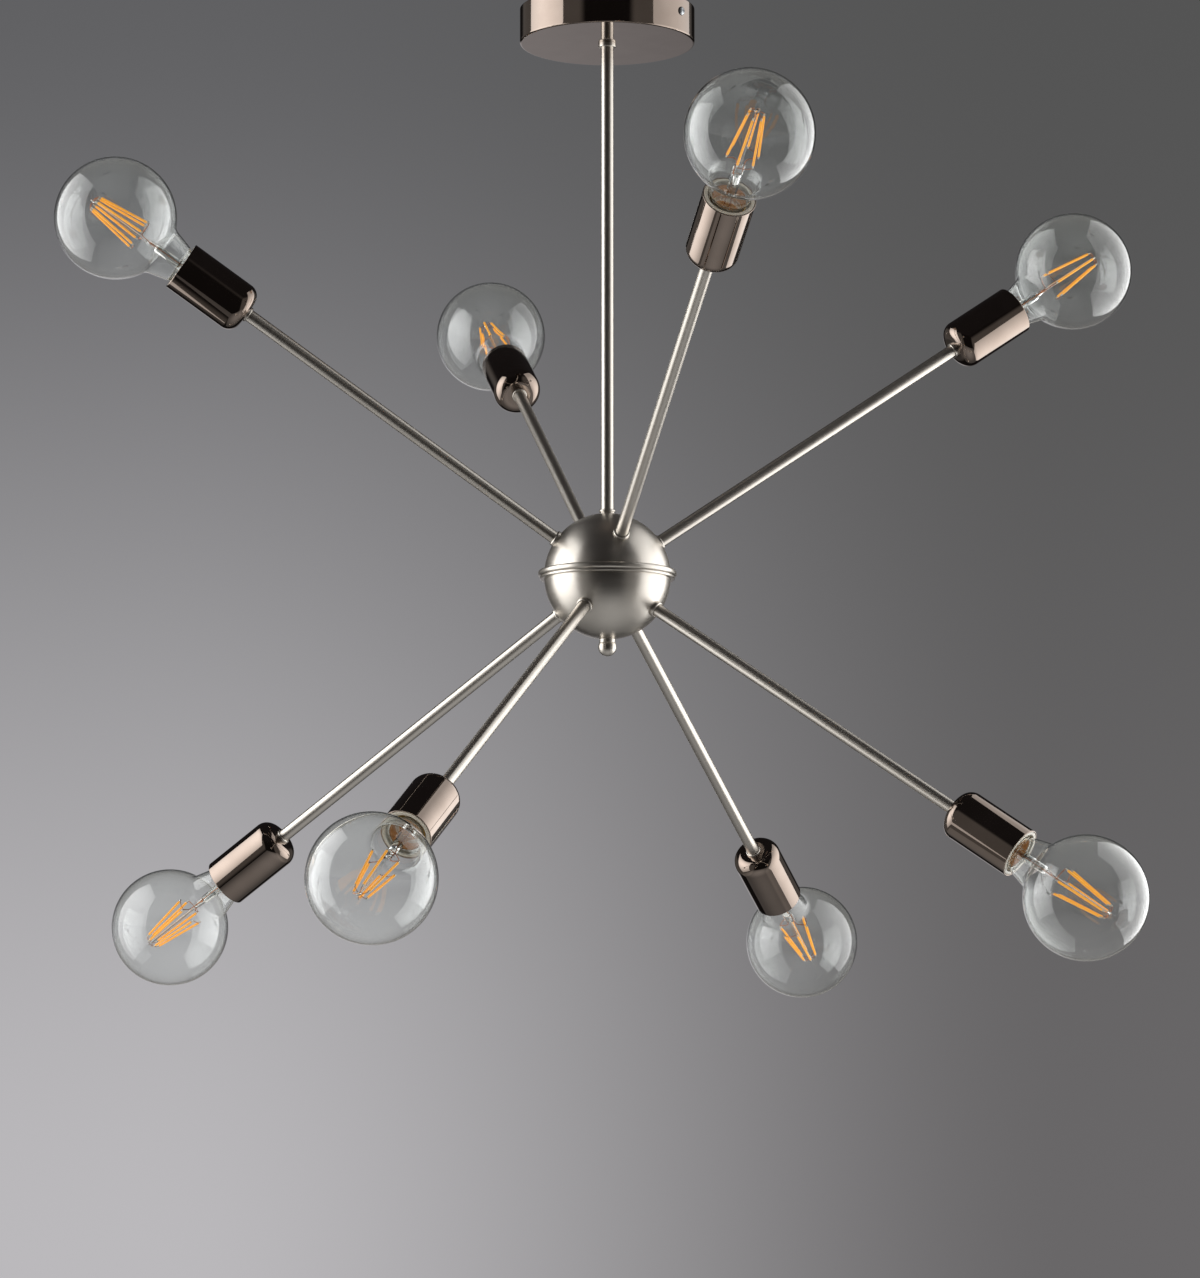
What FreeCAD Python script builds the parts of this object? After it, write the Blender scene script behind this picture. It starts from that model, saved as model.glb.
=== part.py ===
"""Sputnik chandelier: a ball hub on a straight stem, eight arms with cups and globe bulbs.

Millimetres and degrees. +Z is up. The origin is on the ceiling, on the stem's axis.
Azimuths are seen from above: 0 points to the front (-Y), 90 to the right (+X).
"""

import FreeCAD
import Part
import math
import os

# ---- Driving dimensions ----------------------------------------------------------------

# Stem and canopy
stem_length = 380.0  # from the canopy's underside to the ball
stem_diameter = 10.0
tube_wall = 1.0
canopy_diameter = 140.0
canopy_height = 28.0
canopy_wall = 1.0
canopy_edge_radius = 1.6
canopy_collar_diameter = 14.0
canopy_collar_height = 3.0
stem_collar_diameter = 13.0
stem_collar_height = 3.0

# Ceiling bracket: a strap with two tapped ears
strap_width = 16.0
strap_thickness = 2.0
strap_bend_radius = 3.0
ear_margin = 6.0  # metal below the side screw
ceiling_hole_spacing = 70.0
ceiling_hole_diameter = 5.5
side_screw_azimuth = 57.0
side_screw_drop = 11.0  # from the ceiling to the side screw
side_screw_diameter = 4.0
side_screw_length = 8.0
side_screw_head_diameter = 7.0
side_screw_head_height = 2.4
terminal_block_length = 30.0
terminal_block_width = 14.0
terminal_block_height = 11.0
terminal_hole_diameter = 3.2
terminal_poles = 3

# Hub: two spun half balls that meet at a raised band
hub_diameter = 100.0
hub_wall = 1.2
band_diameter = 109.4
band_height = 5.0
band_edge_radius = 1.4
lip_diameter = 106.5
lip_height = 2.0
lip_edge_radius = 0.6
seam_drop = 0.5  # the seam lies this far below the ball's centre
spigot_wall = 1.0
spigot_height = 3.5

# Yoke, rod and finial, which hold up the lower half ball
yoke_length = 30.0
yoke_width = 16.0
yoke_height = 30.0
yoke_thickness = 2.5
yoke_bend_radius = 2.0
rod_diameter = 6.0
rod_grip = 10.0  # length of rod above the yoke's underside
finial_collar_diameter = 12.5
finial_collar_height = 4.0
finial_ball_diameter = 14.5
finial_length = 13.5
finial_thread_depth = 9.5

# Arms
arms_per_half = 4
arm_elevation = 34.0
upper_azimuth = 15.0
lower_azimuth = -25.0
arm_length = 300.0  # from the ball to the cup
arm_diameter = 10.0
hub_collar_diameter = 13.0
hub_collar_height = 2.5
cup_collar_diameter = 12.5
cup_collar_height = 2.0
collar_bevel = 0.5

# Hex nuts
nut_across_flats = 14.0
nut_height = 4.0
rod_nut_across_flats = 10.0
rod_nut_height = 5.0
thread_stand_out = 1.5  # thread that shows past a nut

# Cup
cup_diameter = 40.0
cup_length = 63.0
cup_wall = 1.0
cup_edge_radius = 10.0

# Lampholder in the cup
holder_gap = 0.4  # between the lampholder and the cup's wall
holder_rim_depth = 0.7  # from the cup's mouth to the lampholder's rim
holder_rim_wall = 2.6
holder_recess_depth = 3.3
holder_floor_wall = 3.0
entry_diameter = 16.0
entry_length = 8.0
wire_passage_diameter = 6.0
screw_shell_wall = 0.4
screw_shell_foot = 1.0  # from the socket's floor to the screw shell
contact_diameter = 5.0
contact_plate_diameter = 10.0
contact_plate_thickness = 0.7
contact_height = 2.7

# Bulb: a globe on a screw cap
globe_diameter = 95.0
bulb_length = 137.5
glass_wall = 0.8
neck_diameter = 31.0
neck_growth = 4.5  # of the neck's radius, up to the globe
neck_length = 16.5  # over which the neck grows
neck_fillet_radius = 6.0
neck_in_cap = 9.0
cap_diameter = 26.4
cap_length = 27.0
cap_wall = 0.4
cap_shoulder = 3.0  # bevel at the cap's foot
cap_hole_diameter = 18.0
insulator_diameter = 19.0
insulator_foot_diameter = 10.4
insulator_height = 4.0
tip_diameter = 9.6
tip_height = 1.6

# Glass mount and filaments, by their place along the bulb from the globe's centre
mount_tube_diameter = 8.4
mount_flare_height = 6.0
mount_pinch_top = -30.0
mount_pinch_height = 7.0
mount_pinch_diameter = 6.0
mount_rod_diameter = 2.0
mount_button_diameter = 3.8
filament_pairs = 3
filament_width = 1.8
filament_sides = 8
filament_low = -27.0
filament_high = 20.0
filament_low_circle = 25.2
filament_high_circle = 12.0
filament_wire_width = 0.5
filament_wire_sides = 4

# Fits
thread_fit = 0.05  # radial, pieces that are screwed or clamped together
hole_fit = 0.15  # radial, a tube through sheet metal
cap_fit = 0.08  # radial, the bulb's cap in the screw shell
rod_fit = 0.08  # radial, the rod in the finial
rod_end_gap = 0.1  # between the rod's end and the finial's thread
seam_gap = 0.1  # between the two half balls
finial_gap = 0.1  # between the finial and the lower half ball
spigot_gap = 0.3  # between the lower half's spigot and the upper half
ear_gap = 0.3  # between the bracket's ears and the canopy
contact_gap = 0.1  # between the bulb's tip and the lampholder's contact

# ---- Shape helpers ---------------------------------------------------------------------

ORIGIN = FreeCAD.Vector(0, 0, 0)
RIGHT = FreeCAD.Vector(1, 0, 0)
BACK = FreeCAD.Vector(0, 1, 0)
UP = FreeCAD.Vector(0, 0, 1)


def flat(radius, height):
    """Point of a profile, which is drawn in the XZ plane."""
    return FreeCAD.Vector(radius, 0, height)


def rounded_corner(before, corner, after, rounding):
    """Start, middle and end of the arc that rounds a corner between two straight runs."""
    back = (before - corner).normalize()
    on = (after - corner).normalize()
    half_angle = back.getAngle(on) / 2
    inward = (back + on).normalize()
    cut = rounding / math.tan(half_angle)
    middle = corner + inward * (rounding / math.sin(half_angle) - rounding)
    return corner + back * cut, middle, corner + on * cut


def outline(*steps):
    """Closed face in the XZ plane.

    A step is a corner (radius, height), or (radius, height, rounding). An arc is a pair: a
    point that it passes through, then the corner that it ends on.
    """
    corners = [step[1] if isinstance(step[0], tuple) else step for step in steps]
    points = [flat(*corner[:2]) for corner in corners]
    leaves, edges = [], []
    for k, corner in enumerate(corners):
        here = leave = points[k]
        if len(corner) == 3:
            after = points[(k + 1) % len(points)]
            here, middle, leave = rounded_corner(points[k - 1], points[k], after, corner[2])
            edges.append(Part.Arc(here, middle, leave).toShape())
        leaves.append((here, leave))
    for k, step in enumerate(steps):
        start, end = leaves[k - 1][1], leaves[k][0]
        if isinstance(step[0], tuple):
            edges.append(Part.Arc(start, flat(*step[0]), end).toShape())
        elif not start.isEqual(end, 1e-6):
            edges.append(Part.makeLine(start, end))
    return Part.Face(Part.Wire(Part.__sortEdges__(edges)))


def turned(*steps):
    """Solid turned about Z from an outline."""
    return outline(*steps).revolve(ORIGIN, UP, 360)


def ring(inner, outer, low, high):
    """Ring about Z whose two outer edges are bevelled."""
    bevel = collar_bevel
    return turned(
        (inner, low),
        (outer - bevel, low),
        (outer, low + bevel),
        (outer, high - bevel),
        (outer - bevel, high),
        (inner, high),
    )


def tube(outer, low, high):
    """Straight tube about Z with the frame's tube wall."""
    bore = outer - tube_wall
    return turned((bore, low), (outer, low), (outer, high), (bore, high))


def prism(start, end, width, sides):
    """Straight bar with a regular section between two points."""
    reach = width / 2 / math.cos(math.pi / sides)
    turn = FreeCAD.Rotation(UP, 360 / sides)
    corner = FreeCAD.Vector(reach, 0, 0)
    corners = [corner]
    for _ in range(sides):
        corner = turn.multVec(corner)
        corners.append(corner)
    bar = Part.Face(Part.makePolygon(corners)).extrude(UP * start.distanceToPoint(end))
    bar.Placement = FreeCAD.Placement(start, FreeCAD.Rotation(UP, end - start))
    return bar


def hex_nut(across_flats, bore, low, high):
    """Hex nut about Z between two heights."""
    blank = prism(flat(0, low), flat(0, high), across_flats, 6)
    return blank.cut(Part.makeCylinder(bore, high - low, flat(0, low)))


def drop_to(sphere_radius, radius):
    """Height on a sphere at a given distance from its axis, or the other way round."""
    return math.sqrt(sphere_radius**2 - radius**2)


def arc_on(sphere_radius, start, end):
    """Arc step about the ball's centre from one (radius, height) point to another."""
    middle = (math.atan2(start[1], start[0]) + math.atan2(end[1], end[0])) / 2
    return (sphere_radius * math.cos(middle), sphere_radius * math.sin(middle)), end


# ---- Derived sizes ---------------------------------------------------------------------

hub_radius = hub_diameter / 2
hub_inner_radius = hub_radius - hub_wall
stem_radius = stem_diameter / 2
arm_radius = arm_diameter / 2
rod_radius = rod_diameter / 2
cup_radius = cup_diameter / 2
canopy_floor = -canopy_height + canopy_wall
hub_centre = flat(0, -canopy_height - stem_length - hub_radius)

# Heights above and distances along an arm from the ball's centre
nut_seat = drop_to(hub_inner_radius, nut_across_flats / math.sqrt(3))
yoke_top = nut_seat - nut_height
yoke_low = yoke_top - yoke_height
cup_base = hub_radius + arm_length
cup_mouth = cup_base + cup_length
entry_top = cup_base + cup_wall + entry_length
cap_rim = cup_mouth - holder_rim_depth
bulb_tip = cap_rim - cap_length
globe_centre = bulb_tip + bulb_length - globe_diameter / 2


def on_hub(shape):
    """Move a piece drawn about the ball's centre into place."""
    moved = shape.copy()
    moved.translate(hub_centre)
    return moved


def on_arm(shape, line):
    """Lay a piece drawn along +Z from the ball's centre onto an arm's line."""
    azimuth, elevation = line
    tilt = FreeCAD.Rotation(RIGHT, 90 - elevation)
    laid = shape.copy()
    laid.Placement = FreeCAD.Placement(hub_centre, FreeCAD.Rotation(UP, azimuth) * tilt)
    return laid


def turned_to_screws(shape):
    """Turn a piece drawn along +X to the side screws' azimuth."""
    moved = shape.copy()
    moved.rotate(ORIGIN, UP, side_screw_azimuth - 90)
    return moved


def half_lines(first_azimuth, elevation):
    """Azimuth and elevation of each arm of one half."""
    step = 360 / arms_per_half
    return [(first_azimuth + step * k, elevation) for k in range(arms_per_half)]


upper_lines = half_lines(upper_azimuth, arm_elevation)
lower_lines = half_lines(lower_azimuth, -arm_elevation)

# ---- Canopy, ceiling bracket and stem --------------------------------------------------


def side_drill(radius, reach):
    """Drill along X at the side screws' height, through both sides."""
    return Part.makeCylinder(radius, 2 * reach, flat(-reach, -side_screw_drop), RIGHT)


def make_canopy():
    """Flat-bottomed cup against the ceiling, with the stem's hole and two side holes."""
    outer = canopy_diameter / 2
    inner = outer - canopy_wall
    hole = stem_radius + hole_fit
    shell = turned(
        (hole, -canopy_height),
        (outer, -canopy_height, canopy_edge_radius),
        (outer, 0),
        (inner, 0),
        (inner, canopy_floor, canopy_edge_radius - canopy_wall),
        (hole, canopy_floor),
    )
    return shell.cut(turned_to_screws(side_drill(side_screw_diameter / 2 + hole_fit, outer)))


def make_ceiling_bracket():
    """Bent strap: two holes for ceiling screws, and an ear at each end inside the canopy."""
    canopy_inner = canopy_diameter / 2 - canopy_wall
    half = drop_to(canopy_inner - ear_gap, strap_width / 2)
    inner = half - strap_thickness
    foot = -side_screw_drop - ear_margin
    inner_bend = strap_bend_radius - strap_thickness
    section = outline(
        (-half, foot),
        (-half, 0, strap_bend_radius),
        (half, 0, strap_bend_radius),
        (half, foot),
        (inner, foot),
        (inner, -strap_thickness, inner_bend),
        (-inner, -strap_thickness, inner_bend),
        (-inner, foot),
    )
    strap = section.extrude(BACK * strap_width)
    strap.translate(BACK * (-strap_width / 2))
    for side in (-1, 1):
        place = flat(side * ceiling_hole_spacing / 2, -strap_thickness)
        drill = Part.makeCylinder(ceiling_hole_diameter / 2, strap_thickness, place)
        strap = strap.cut(drill)
    strap = strap.cut(side_drill(side_screw_diameter / 2 + thread_fit, half))
    return turned_to_screws(strap)


def make_side_screws():
    """Two domed screws through the canopy's wall into the bracket's ears."""
    shank = side_screw_diameter / 2
    head = side_screw_head_diameter / 2
    seat = canopy_diameter / 2
    crown = seat + side_screw_head_height
    screw = turned(
        (0, seat - side_screw_length),
        (shank, seat - side_screw_length),
        (shank, seat),
        (head, seat),
        (head, seat + side_screw_head_height / 2),
        (head - side_screw_head_height / 2, crown),
        (0, crown),
    )
    screws = []
    for side in (-1, 1):
        laid = screw.copy()
        laid.rotate(ORIGIN, BACK, side * 90)
        laid.translate(UP * -side_screw_drop)
        screws.append(turned_to_screws(laid))
    return screws


def make_terminal_block():
    """Block under the strap with a wire hole and a screw well for each pole."""
    length, width, height = terminal_block_length, terminal_block_width, terminal_block_height
    low = -strap_thickness - height
    bore = terminal_hole_diameter / 2
    pitch = length / terminal_poles
    block = Part.makeBox(length, width, height, FreeCAD.Vector(-length / 2, -width / 2, low))
    for pole in range(terminal_poles):
        x = (pole + 0.5) * pitch - length / 2
        wire_hole = Part.makeCylinder(
            bore, width, FreeCAD.Vector(x, -width / 2, low + height / 2), BACK
        )
        screw_well = Part.makeCylinder(bore, height / 2, flat(x, low))
        block = block.cut(wire_hole).cut(screw_well)
    return turned_to_screws(block)


def make_stem():
    """Tube threaded at both ends, from inside the canopy to the yoke's lower nut."""
    top = canopy_floor + nut_height + thread_stand_out
    low = hub_centre.z + yoke_top - yoke_thickness - nut_height - thread_stand_out
    return tube(stem_radius, low, top)


def seated_collar(bore, diameter, height):
    """Collar whose underside is hollowed to sit on the ball."""
    low = drop_to(hub_radius, diameter / 2)
    blank = ring(bore, diameter / 2, low, hub_radius + height)
    return blank.cut(Part.makeSphere(hub_radius))


def make_stem_collars():
    """The collar under the canopy and the one on top of the ball."""
    bore = stem_radius + thread_fit
    top = -canopy_height
    low = top - canopy_collar_height
    under_canopy = ring(bore, canopy_collar_diameter / 2, low, top)
    return [under_canopy, on_hub(seated_collar(bore, stem_collar_diameter, stem_collar_height))]


def make_centre_nuts():
    """Nuts on the axis: in the canopy, above and below the yoke's top, and on the rod."""
    bore = stem_radius + thread_fit
    yoke_nut_top = yoke_top - yoke_thickness
    plate_top = yoke_low + yoke_thickness
    rod_nut = hex_nut(
        rod_nut_across_flats, rod_radius + thread_fit, plate_top, plate_top + rod_nut_height
    )
    return [
        hex_nut(nut_across_flats, bore, canopy_floor, canopy_floor + nut_height),
        on_hub(hex_nut(nut_across_flats, bore, yoke_top, nut_seat)),
        on_hub(hex_nut(nut_across_flats, bore, yoke_nut_top - nut_height, yoke_nut_top)),
        on_hub(rod_nut),
    ]


# ---- Hub -------------------------------------------------------------------------------


def with_arm_holes(shell, lines):
    """Put a half ball in place and drill one hole for each of its arms."""
    drill = Part.makeCylinder(arm_radius + hole_fit, hub_radius, flat(0, hub_radius / 2))
    return on_hub(shell).cut([on_arm(drill, line) for line in lines])


def make_upper_hub_shell():
    """Upper half ball with the raised band, hung on the stem."""
    hole = stem_radius + hole_fit
    band = band_diameter / 2
    seam = -seam_drop
    band_top = seam + band_height
    skirt = (drop_to(hub_inner_radius, seam), seam)
    shoulder = (drop_to(hub_radius, band_top), band_top)
    crown = (hole, drop_to(hub_radius, hole))
    crown_inside = (hole, drop_to(hub_inner_radius, hole))
    shell = turned(
        (band, seam, band_edge_radius),
        (band, band_top, band_edge_radius),
        shoulder,
        arc_on(hub_radius, shoulder, crown),
        crown_inside,
        arc_on(hub_inner_radius, crown_inside, skirt),
    )
    return with_arm_holes(shell, upper_lines)


def make_lower_hub_shell():
    """Lower half ball with its lip and the spigot that centres it in the upper half."""
    hole = rod_radius + hole_fit
    lip = lip_diameter / 2
    lip_top = -seam_drop - seam_gap
    lip_low = lip_top - lip_height
    spigot_top = lip_top + spigot_height
    spigot = drop_to(hub_inner_radius, spigot_top) - spigot_gap
    shoulder = (drop_to(hub_radius, lip_low), lip_low)
    inside = (drop_to(hub_inner_radius, lip_low), lip_low)
    foot = (hole, -drop_to(hub_radius, hole))
    foot_inside = (hole, -drop_to(hub_inner_radius, hole))
    shell = turned(
        foot,
        arc_on(hub_radius, foot, shoulder),
        (lip, lip_low, lip_edge_radius),
        (lip, lip_top),
        (spigot, lip_top),
        (spigot, spigot_top),
        (spigot - spigot_wall, spigot_top),
        (spigot - spigot_wall, lip_low),
        inside,
        arc_on(hub_inner_radius, inside, foot_inside),
    )
    return with_arm_holes(shell, lower_lines)


def make_hub_yoke():
    """Loop of strap: the stem's nuts clamp its top, and the rod screws into its foot."""
    half = yoke_length / 2
    inner = half - yoke_thickness
    inner_bend = yoke_bend_radius / 2
    outside = outline(
        (-half, yoke_low, yoke_bend_radius),
        (half, yoke_low, yoke_bend_radius),
        (half, yoke_top, yoke_bend_radius),
        (-half, yoke_top, yoke_bend_radius),
    )
    inside = outline(
        (-inner, yoke_low + yoke_thickness, inner_bend),
        (inner, yoke_low + yoke_thickness, inner_bend),
        (inner, yoke_top - yoke_thickness, inner_bend),
        (-inner, yoke_top - yoke_thickness, inner_bend),
    )
    loop = outside.cut(inside).extrude(BACK * yoke_width)
    loop.translate(BACK * (-yoke_width / 2))
    stem_hole = Part.makeCylinder(
        stem_radius + thread_fit, yoke_thickness, flat(0, yoke_top - yoke_thickness)
    )
    rod_hole = Part.makeCylinder(rod_radius + thread_fit, yoke_thickness, flat(0, yoke_low))
    return turned_to_screws(on_hub(loop.cut([stem_hole, rod_hole])))


def make_hub_rod():
    """Threaded rod from the yoke down into the finial."""
    low = -hub_radius - finial_thread_depth
    top = yoke_low + rod_grip
    return on_hub(Part.makeCylinder(rod_radius, top - low, flat(0, low)))


def make_finial():
    """Turned ball and collar, tapped from above, whose top is hollowed to sit on the ball."""
    collar = finial_collar_diameter / 2
    ball = finial_ball_diameter / 2
    collar_top = -drop_to(hub_radius, collar)
    collar_low = -hub_radius - finial_collar_height
    thread_end = -hub_radius - finial_thread_depth - rod_end_gap
    blank = ring(0, collar, collar_low, collar_top)
    blank = blank.fuse(Part.makeSphere(ball, flat(0, ball - hub_radius - finial_length)))
    thread = Part.makeCylinder(rod_radius + rod_fit, -thread_end, flat(0, thread_end))
    return on_hub(blank.cut([Part.makeSphere(hub_radius + finial_gap), thread]))


# ---- Arm and cup, drawn along +Z from the ball's centre --------------------------------


def make_arm():
    """Tube threaded at both ends, from the nut in the hub to the lampholder's entry."""
    return tube(arm_radius, nut_seat - nut_height - thread_stand_out, entry_top)


def make_arm_collars():
    """The ferrule on the ball and the collar behind the cup."""
    bore = arm_radius + thread_fit
    low = cup_base - cup_collar_height
    at_cup = ring(bore, cup_collar_diameter / 2, low, cup_base)
    return [seated_collar(bore, hub_collar_diameter, hub_collar_height), at_cup]


def make_arm_nut():
    """Nut that holds the arm against the inside of the ball."""
    return hex_nut(nut_across_flats, arm_radius + thread_fit, nut_seat - nut_height, nut_seat)


def make_cup():
    """Spun cup with a round-edged base that is clamped between the collar and the lampholder."""
    inner = cup_radius - cup_wall
    hole = arm_radius + hole_fit
    floor = cup_base + cup_wall
    return turned(
        (hole, cup_base),
        (cup_radius, cup_base, cup_edge_radius),
        (cup_radius, cup_mouth),
        (inner, cup_mouth),
        (inner, floor, cup_edge_radius - cup_wall),
        (hole, floor),
    )


# ---- Lampholder ------------------------------------------------------------------------

holder_rim = cup_mouth - holder_rim_depth
holder_ledge = holder_rim - holder_recess_depth
holder_base = cup_base + cup_edge_radius  # where the cup's inside becomes straight
holder_radius = cup_radius - cup_wall - holder_gap
socket_floor = bulb_tip - contact_gap - contact_height
screw_shell_bore = cap_diameter / 2 + cap_fit
screw_shell_radius = screw_shell_bore + screw_shell_wall


def make_holder_body():
    """Moulded lampholder: threaded entry, terminal chamber, socket and rim."""
    bore = arm_radius + thread_fit
    passage = wire_passage_diameter / 2
    entry = entry_diameter / 2
    recess = holder_radius - holder_rim_wall
    chamber = holder_radius - holder_floor_wall
    socket = screw_shell_radius + thread_fit
    chamber_low = holder_base + holder_floor_wall
    chamber_top = socket_floor - holder_floor_wall
    return turned(
        (bore, cup_base + cup_wall),
        (entry, cup_base + cup_wall),
        (entry, holder_base),
        (holder_radius, holder_base),
        (holder_radius, holder_rim),
        (recess, holder_rim),
        (recess, holder_ledge),
        (socket, holder_ledge),
        (socket, socket_floor),
        (passage, socket_floor),
        (passage, chamber_top),
        (chamber, chamber_top),
        (chamber, chamber_low),
        (passage, chamber_low),
        (passage, entry_top),
        (bore, entry_top),
    )


def make_holder_metal():
    """Brass screw shell and the centre contact under the bulb's tip."""
    low = socket_floor + screw_shell_foot
    contact = contact_diameter / 2
    plate = contact_plate_diameter / 2
    plate_top = socket_floor + contact_plate_thickness
    shell = turned(
        (screw_shell_bore, low),
        (screw_shell_radius, low),
        (screw_shell_radius, holder_ledge),
        (screw_shell_bore, holder_ledge),
    )
    spring = turned(
        (0, socket_floor),
        (plate, socket_floor),
        (plate, plate_top),
        (contact, plate_top),
        (contact, bulb_tip - contact_gap),
        (0, bulb_tip - contact_gap),
    )
    return [shell, spring]


# ---- Bulb ------------------------------------------------------------------------------

waist_radius = cap_diameter / 2 - cap_wall - thread_fit
glass_end = cap_rim - neck_in_cap


def inset_path(points, inset):
    """Move an open path of points sideways, towards the axis, by the same distance."""
    moved = []
    for k, point in enumerate(points):
        runs = [b - a for a, b in zip(points[:-1], points[1:])][max(k - 1, 0) : k + 1]
        sides = [FreeCAD.Vector(-run.z, 0, run.x).normalize() for run in runs]
        total = sides[0] + sides[-1]
        moved.append(point + total * (2 * inset / total.dot(total)))
    return moved


def neck_blend(start, along, centre, sphere, blend):
    """Arc from a straight neck into the globe: its foot, its middle and its end."""
    outward = FreeCAD.Vector(along.z, 0, -along.x)
    offset = start + outward * blend - centre
    middle_run = offset.dot(along)
    run = -middle_run - math.sqrt(middle_run**2 - offset.dot(offset) + (sphere + blend) ** 2)
    arc_centre = start + outward * blend + along * run
    to_globe = (centre - arc_centre).normalize()
    middle = arc_centre + (to_globe - outward).normalize() * blend
    return arc_centre - outward * blend, middle, arc_centre + to_globe * blend


def glass_blank(inset):
    """Solid shape of the bulb's outside, or of its hollow when inset by the glass wall."""
    neck_radius = neck_diameter / 2
    neck_foot = cap_rim + neck_radius - waist_radius
    path = [
        flat(waist_radius, glass_end),
        flat(waist_radius, cap_rim),
        flat(neck_radius, neck_foot),
        flat(neck_radius + neck_growth, neck_foot + neck_length),
    ]
    low, waist, neck, top = inset_path(path, inset)
    centre = flat(0, globe_centre)
    sphere = globe_diameter / 2 - inset
    along = (top - neck).normalize()
    foot, middle, end = neck_blend(neck, along, centre, sphere, neck_fillet_radius + inset)
    side = math.acos(-(centre - end).normalize().z)
    return turned(
        (0, glass_end),
        (low.x, low.z),
        (waist.x, waist.z),
        (neck.x, neck.z),
        (foot.x, foot.z),
        ((middle.x, middle.z), (end.x, end.z)),
        (
            (sphere * math.sin(side / 2), globe_centre + sphere * math.cos(side / 2)),
            (0, globe_centre + sphere),
        ),
    )


def make_glass_mount():
    """Flared glass tube, pinched shut, with the rod and button that carry the filaments."""
    flare = waist_radius - glass_wall
    stalk = mount_tube_diameter / 2
    bore = stalk - glass_wall
    pinch = mount_pinch_diameter / 2
    rod = mount_rod_diameter / 2
    flare_top = glass_end + mount_flare_height
    pinch_top = globe_centre + mount_pinch_top
    pinch_low = pinch_top - mount_pinch_height
    button_height = globe_centre + filament_high + mount_button_diameter / 2
    stalk_shape = turned(
        (flare - glass_wall, glass_end),
        (flare, glass_end),
        (flare, glass_end + glass_wall),
        (stalk, flare_top),
        (stalk, pinch_low),
        (pinch, pinch_top),
        (rod, pinch_top),
        (rod, button_height),
        (0, button_height),
        (0, pinch_low),
        (bore, pinch_low),
        (bore, flare_top),
    )
    button = Part.makeSphere(mount_button_diameter / 2, flat(0, button_height))
    return stalk_shape.fuse(button)


def make_bulb_glass():
    """Globe, neck and inner glass mount, one piece of glass."""
    envelope = glass_blank(0).cut(glass_blank(glass_wall))
    return envelope.fuse(make_glass_mount())


def make_bulb_cap():
    """Screw cap: metal shell, insulator and tip contact."""
    outer = cap_diameter / 2
    inner = outer - cap_wall
    hole = cap_hole_diameter / 2
    plug = hole - thread_fit
    tip = tip_diameter / 2
    tip_top = bulb_tip + tip_height
    shell_low = tip_top + insulator_height
    shell_floor = shell_low + cap_wall
    shell = turned(
        (hole, shell_low),
        (outer - cap_shoulder, shell_low),
        (outer, shell_low + cap_shoulder),
        (outer, cap_rim),
        (inner, cap_rim),
        (inner, shell_floor + cap_shoulder),
        (inner - cap_shoulder, shell_floor),
        (hole, shell_floor),
    )
    glass_button = turned(
        (0, tip_top),
        (insulator_foot_diameter / 2, tip_top),
        (insulator_diameter / 2, shell_low),
        (plug, shell_low),
        (plug, shell_floor),
        (0, shell_floor),
    )
    contact = turned((0, bulb_tip), (tip - tip_height, bulb_tip), (tip, tip_top), (0, tip_top))
    return [shell, glass_button, contact]


def filament_point(circle, place, index):
    """Point on one of the filaments' two circles; index counts round the ring."""
    angle = 2 * math.pi * index / (2 * filament_pairs)
    radius = circle / 2
    height = globe_centre + place
    return FreeCAD.Vector(radius * math.cos(angle), radius * math.sin(angle), height)


def make_filaments():
    """Pairs of LED sticks, joined by a wire at the foot and held from the rod at the top."""
    pairs = []
    for pair in range(filament_pairs):
        ends = []
        pieces = []
        for index in (2 * pair, 2 * pair + 1):
            low = filament_point(filament_low_circle, filament_low, index)
            high = filament_point(filament_high_circle, filament_high, index)
            rod_side = filament_point(
                mount_rod_diameter + 2 * thread_fit, filament_high - filament_wire_width, index
            )
            wire_end = high - UP * filament_wire_width
            pieces.append(prism(low, high, filament_width, filament_sides))
            pieces.append(prism(rod_side, wire_end, filament_wire_width, filament_wire_sides))
            ends.append(low + UP * filament_wire_width)
        pieces.append(prism(*ends, filament_wire_width, filament_wire_sides))
        pairs.append(pieces[0].fuse(pieces[1:]))
    return pairs


# ---- Every piece in its place ----------------------------------------------------------

parts = {
    "ceiling_bracket": [make_ceiling_bracket()],
    "terminal_block": [make_terminal_block()],
    "canopy": [make_canopy()],
    "canopy_side_screws": make_side_screws(),
    "stem": [make_stem()],
    "stem_collars": make_stem_collars(),
    "centre_nuts": make_centre_nuts(),
    "upper_hub_shell": [make_upper_hub_shell()],
    "lower_hub_shell": [make_lower_hub_shell()],
    "hub_yoke": [make_hub_yoke()],
    "hub_rod": [make_hub_rod()],
    "finial": [make_finial()],
}

arm_pieces = {"arm": [make_arm()], "cup": [make_cup()]}
shared_pieces = {
    "arm_collars": make_arm_collars(),
    "arm_nuts": [make_arm_nut()],
    "holder_bodies": [make_holder_body()],
    "holder_contacts": make_holder_metal(),
}
bulb_pieces = {
    "bulb_glass": [make_bulb_glass()],
    "bulb_cap": make_bulb_cap(),
    "bulb_filaments": make_filaments(),
}

for half, lines in (("upper", upper_lines), ("lower", lower_lines)):
    for name, shapes in shared_pieces.items():
        parts[f"{half}_{name}"] = [on_arm(shape, line) for line in lines for shape in shapes]
    for number, line in enumerate(lines, start=1):
        for name, shapes in (arm_pieces | bulb_pieces).items():
            parts[f"{half}_{name}_{number}"] = [on_arm(shape, line) for shape in shapes]

os.makedirs("parts", exist_ok=True)
for name, shapes in parts.items():
    shape = shapes[0] if len(shapes) == 1 else Part.makeCompound(shapes)
    shape.exportStep(f"parts/{name}.step")
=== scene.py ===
import bmesh
import bpy
import math
from mathutils import Matrix, Vector


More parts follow.
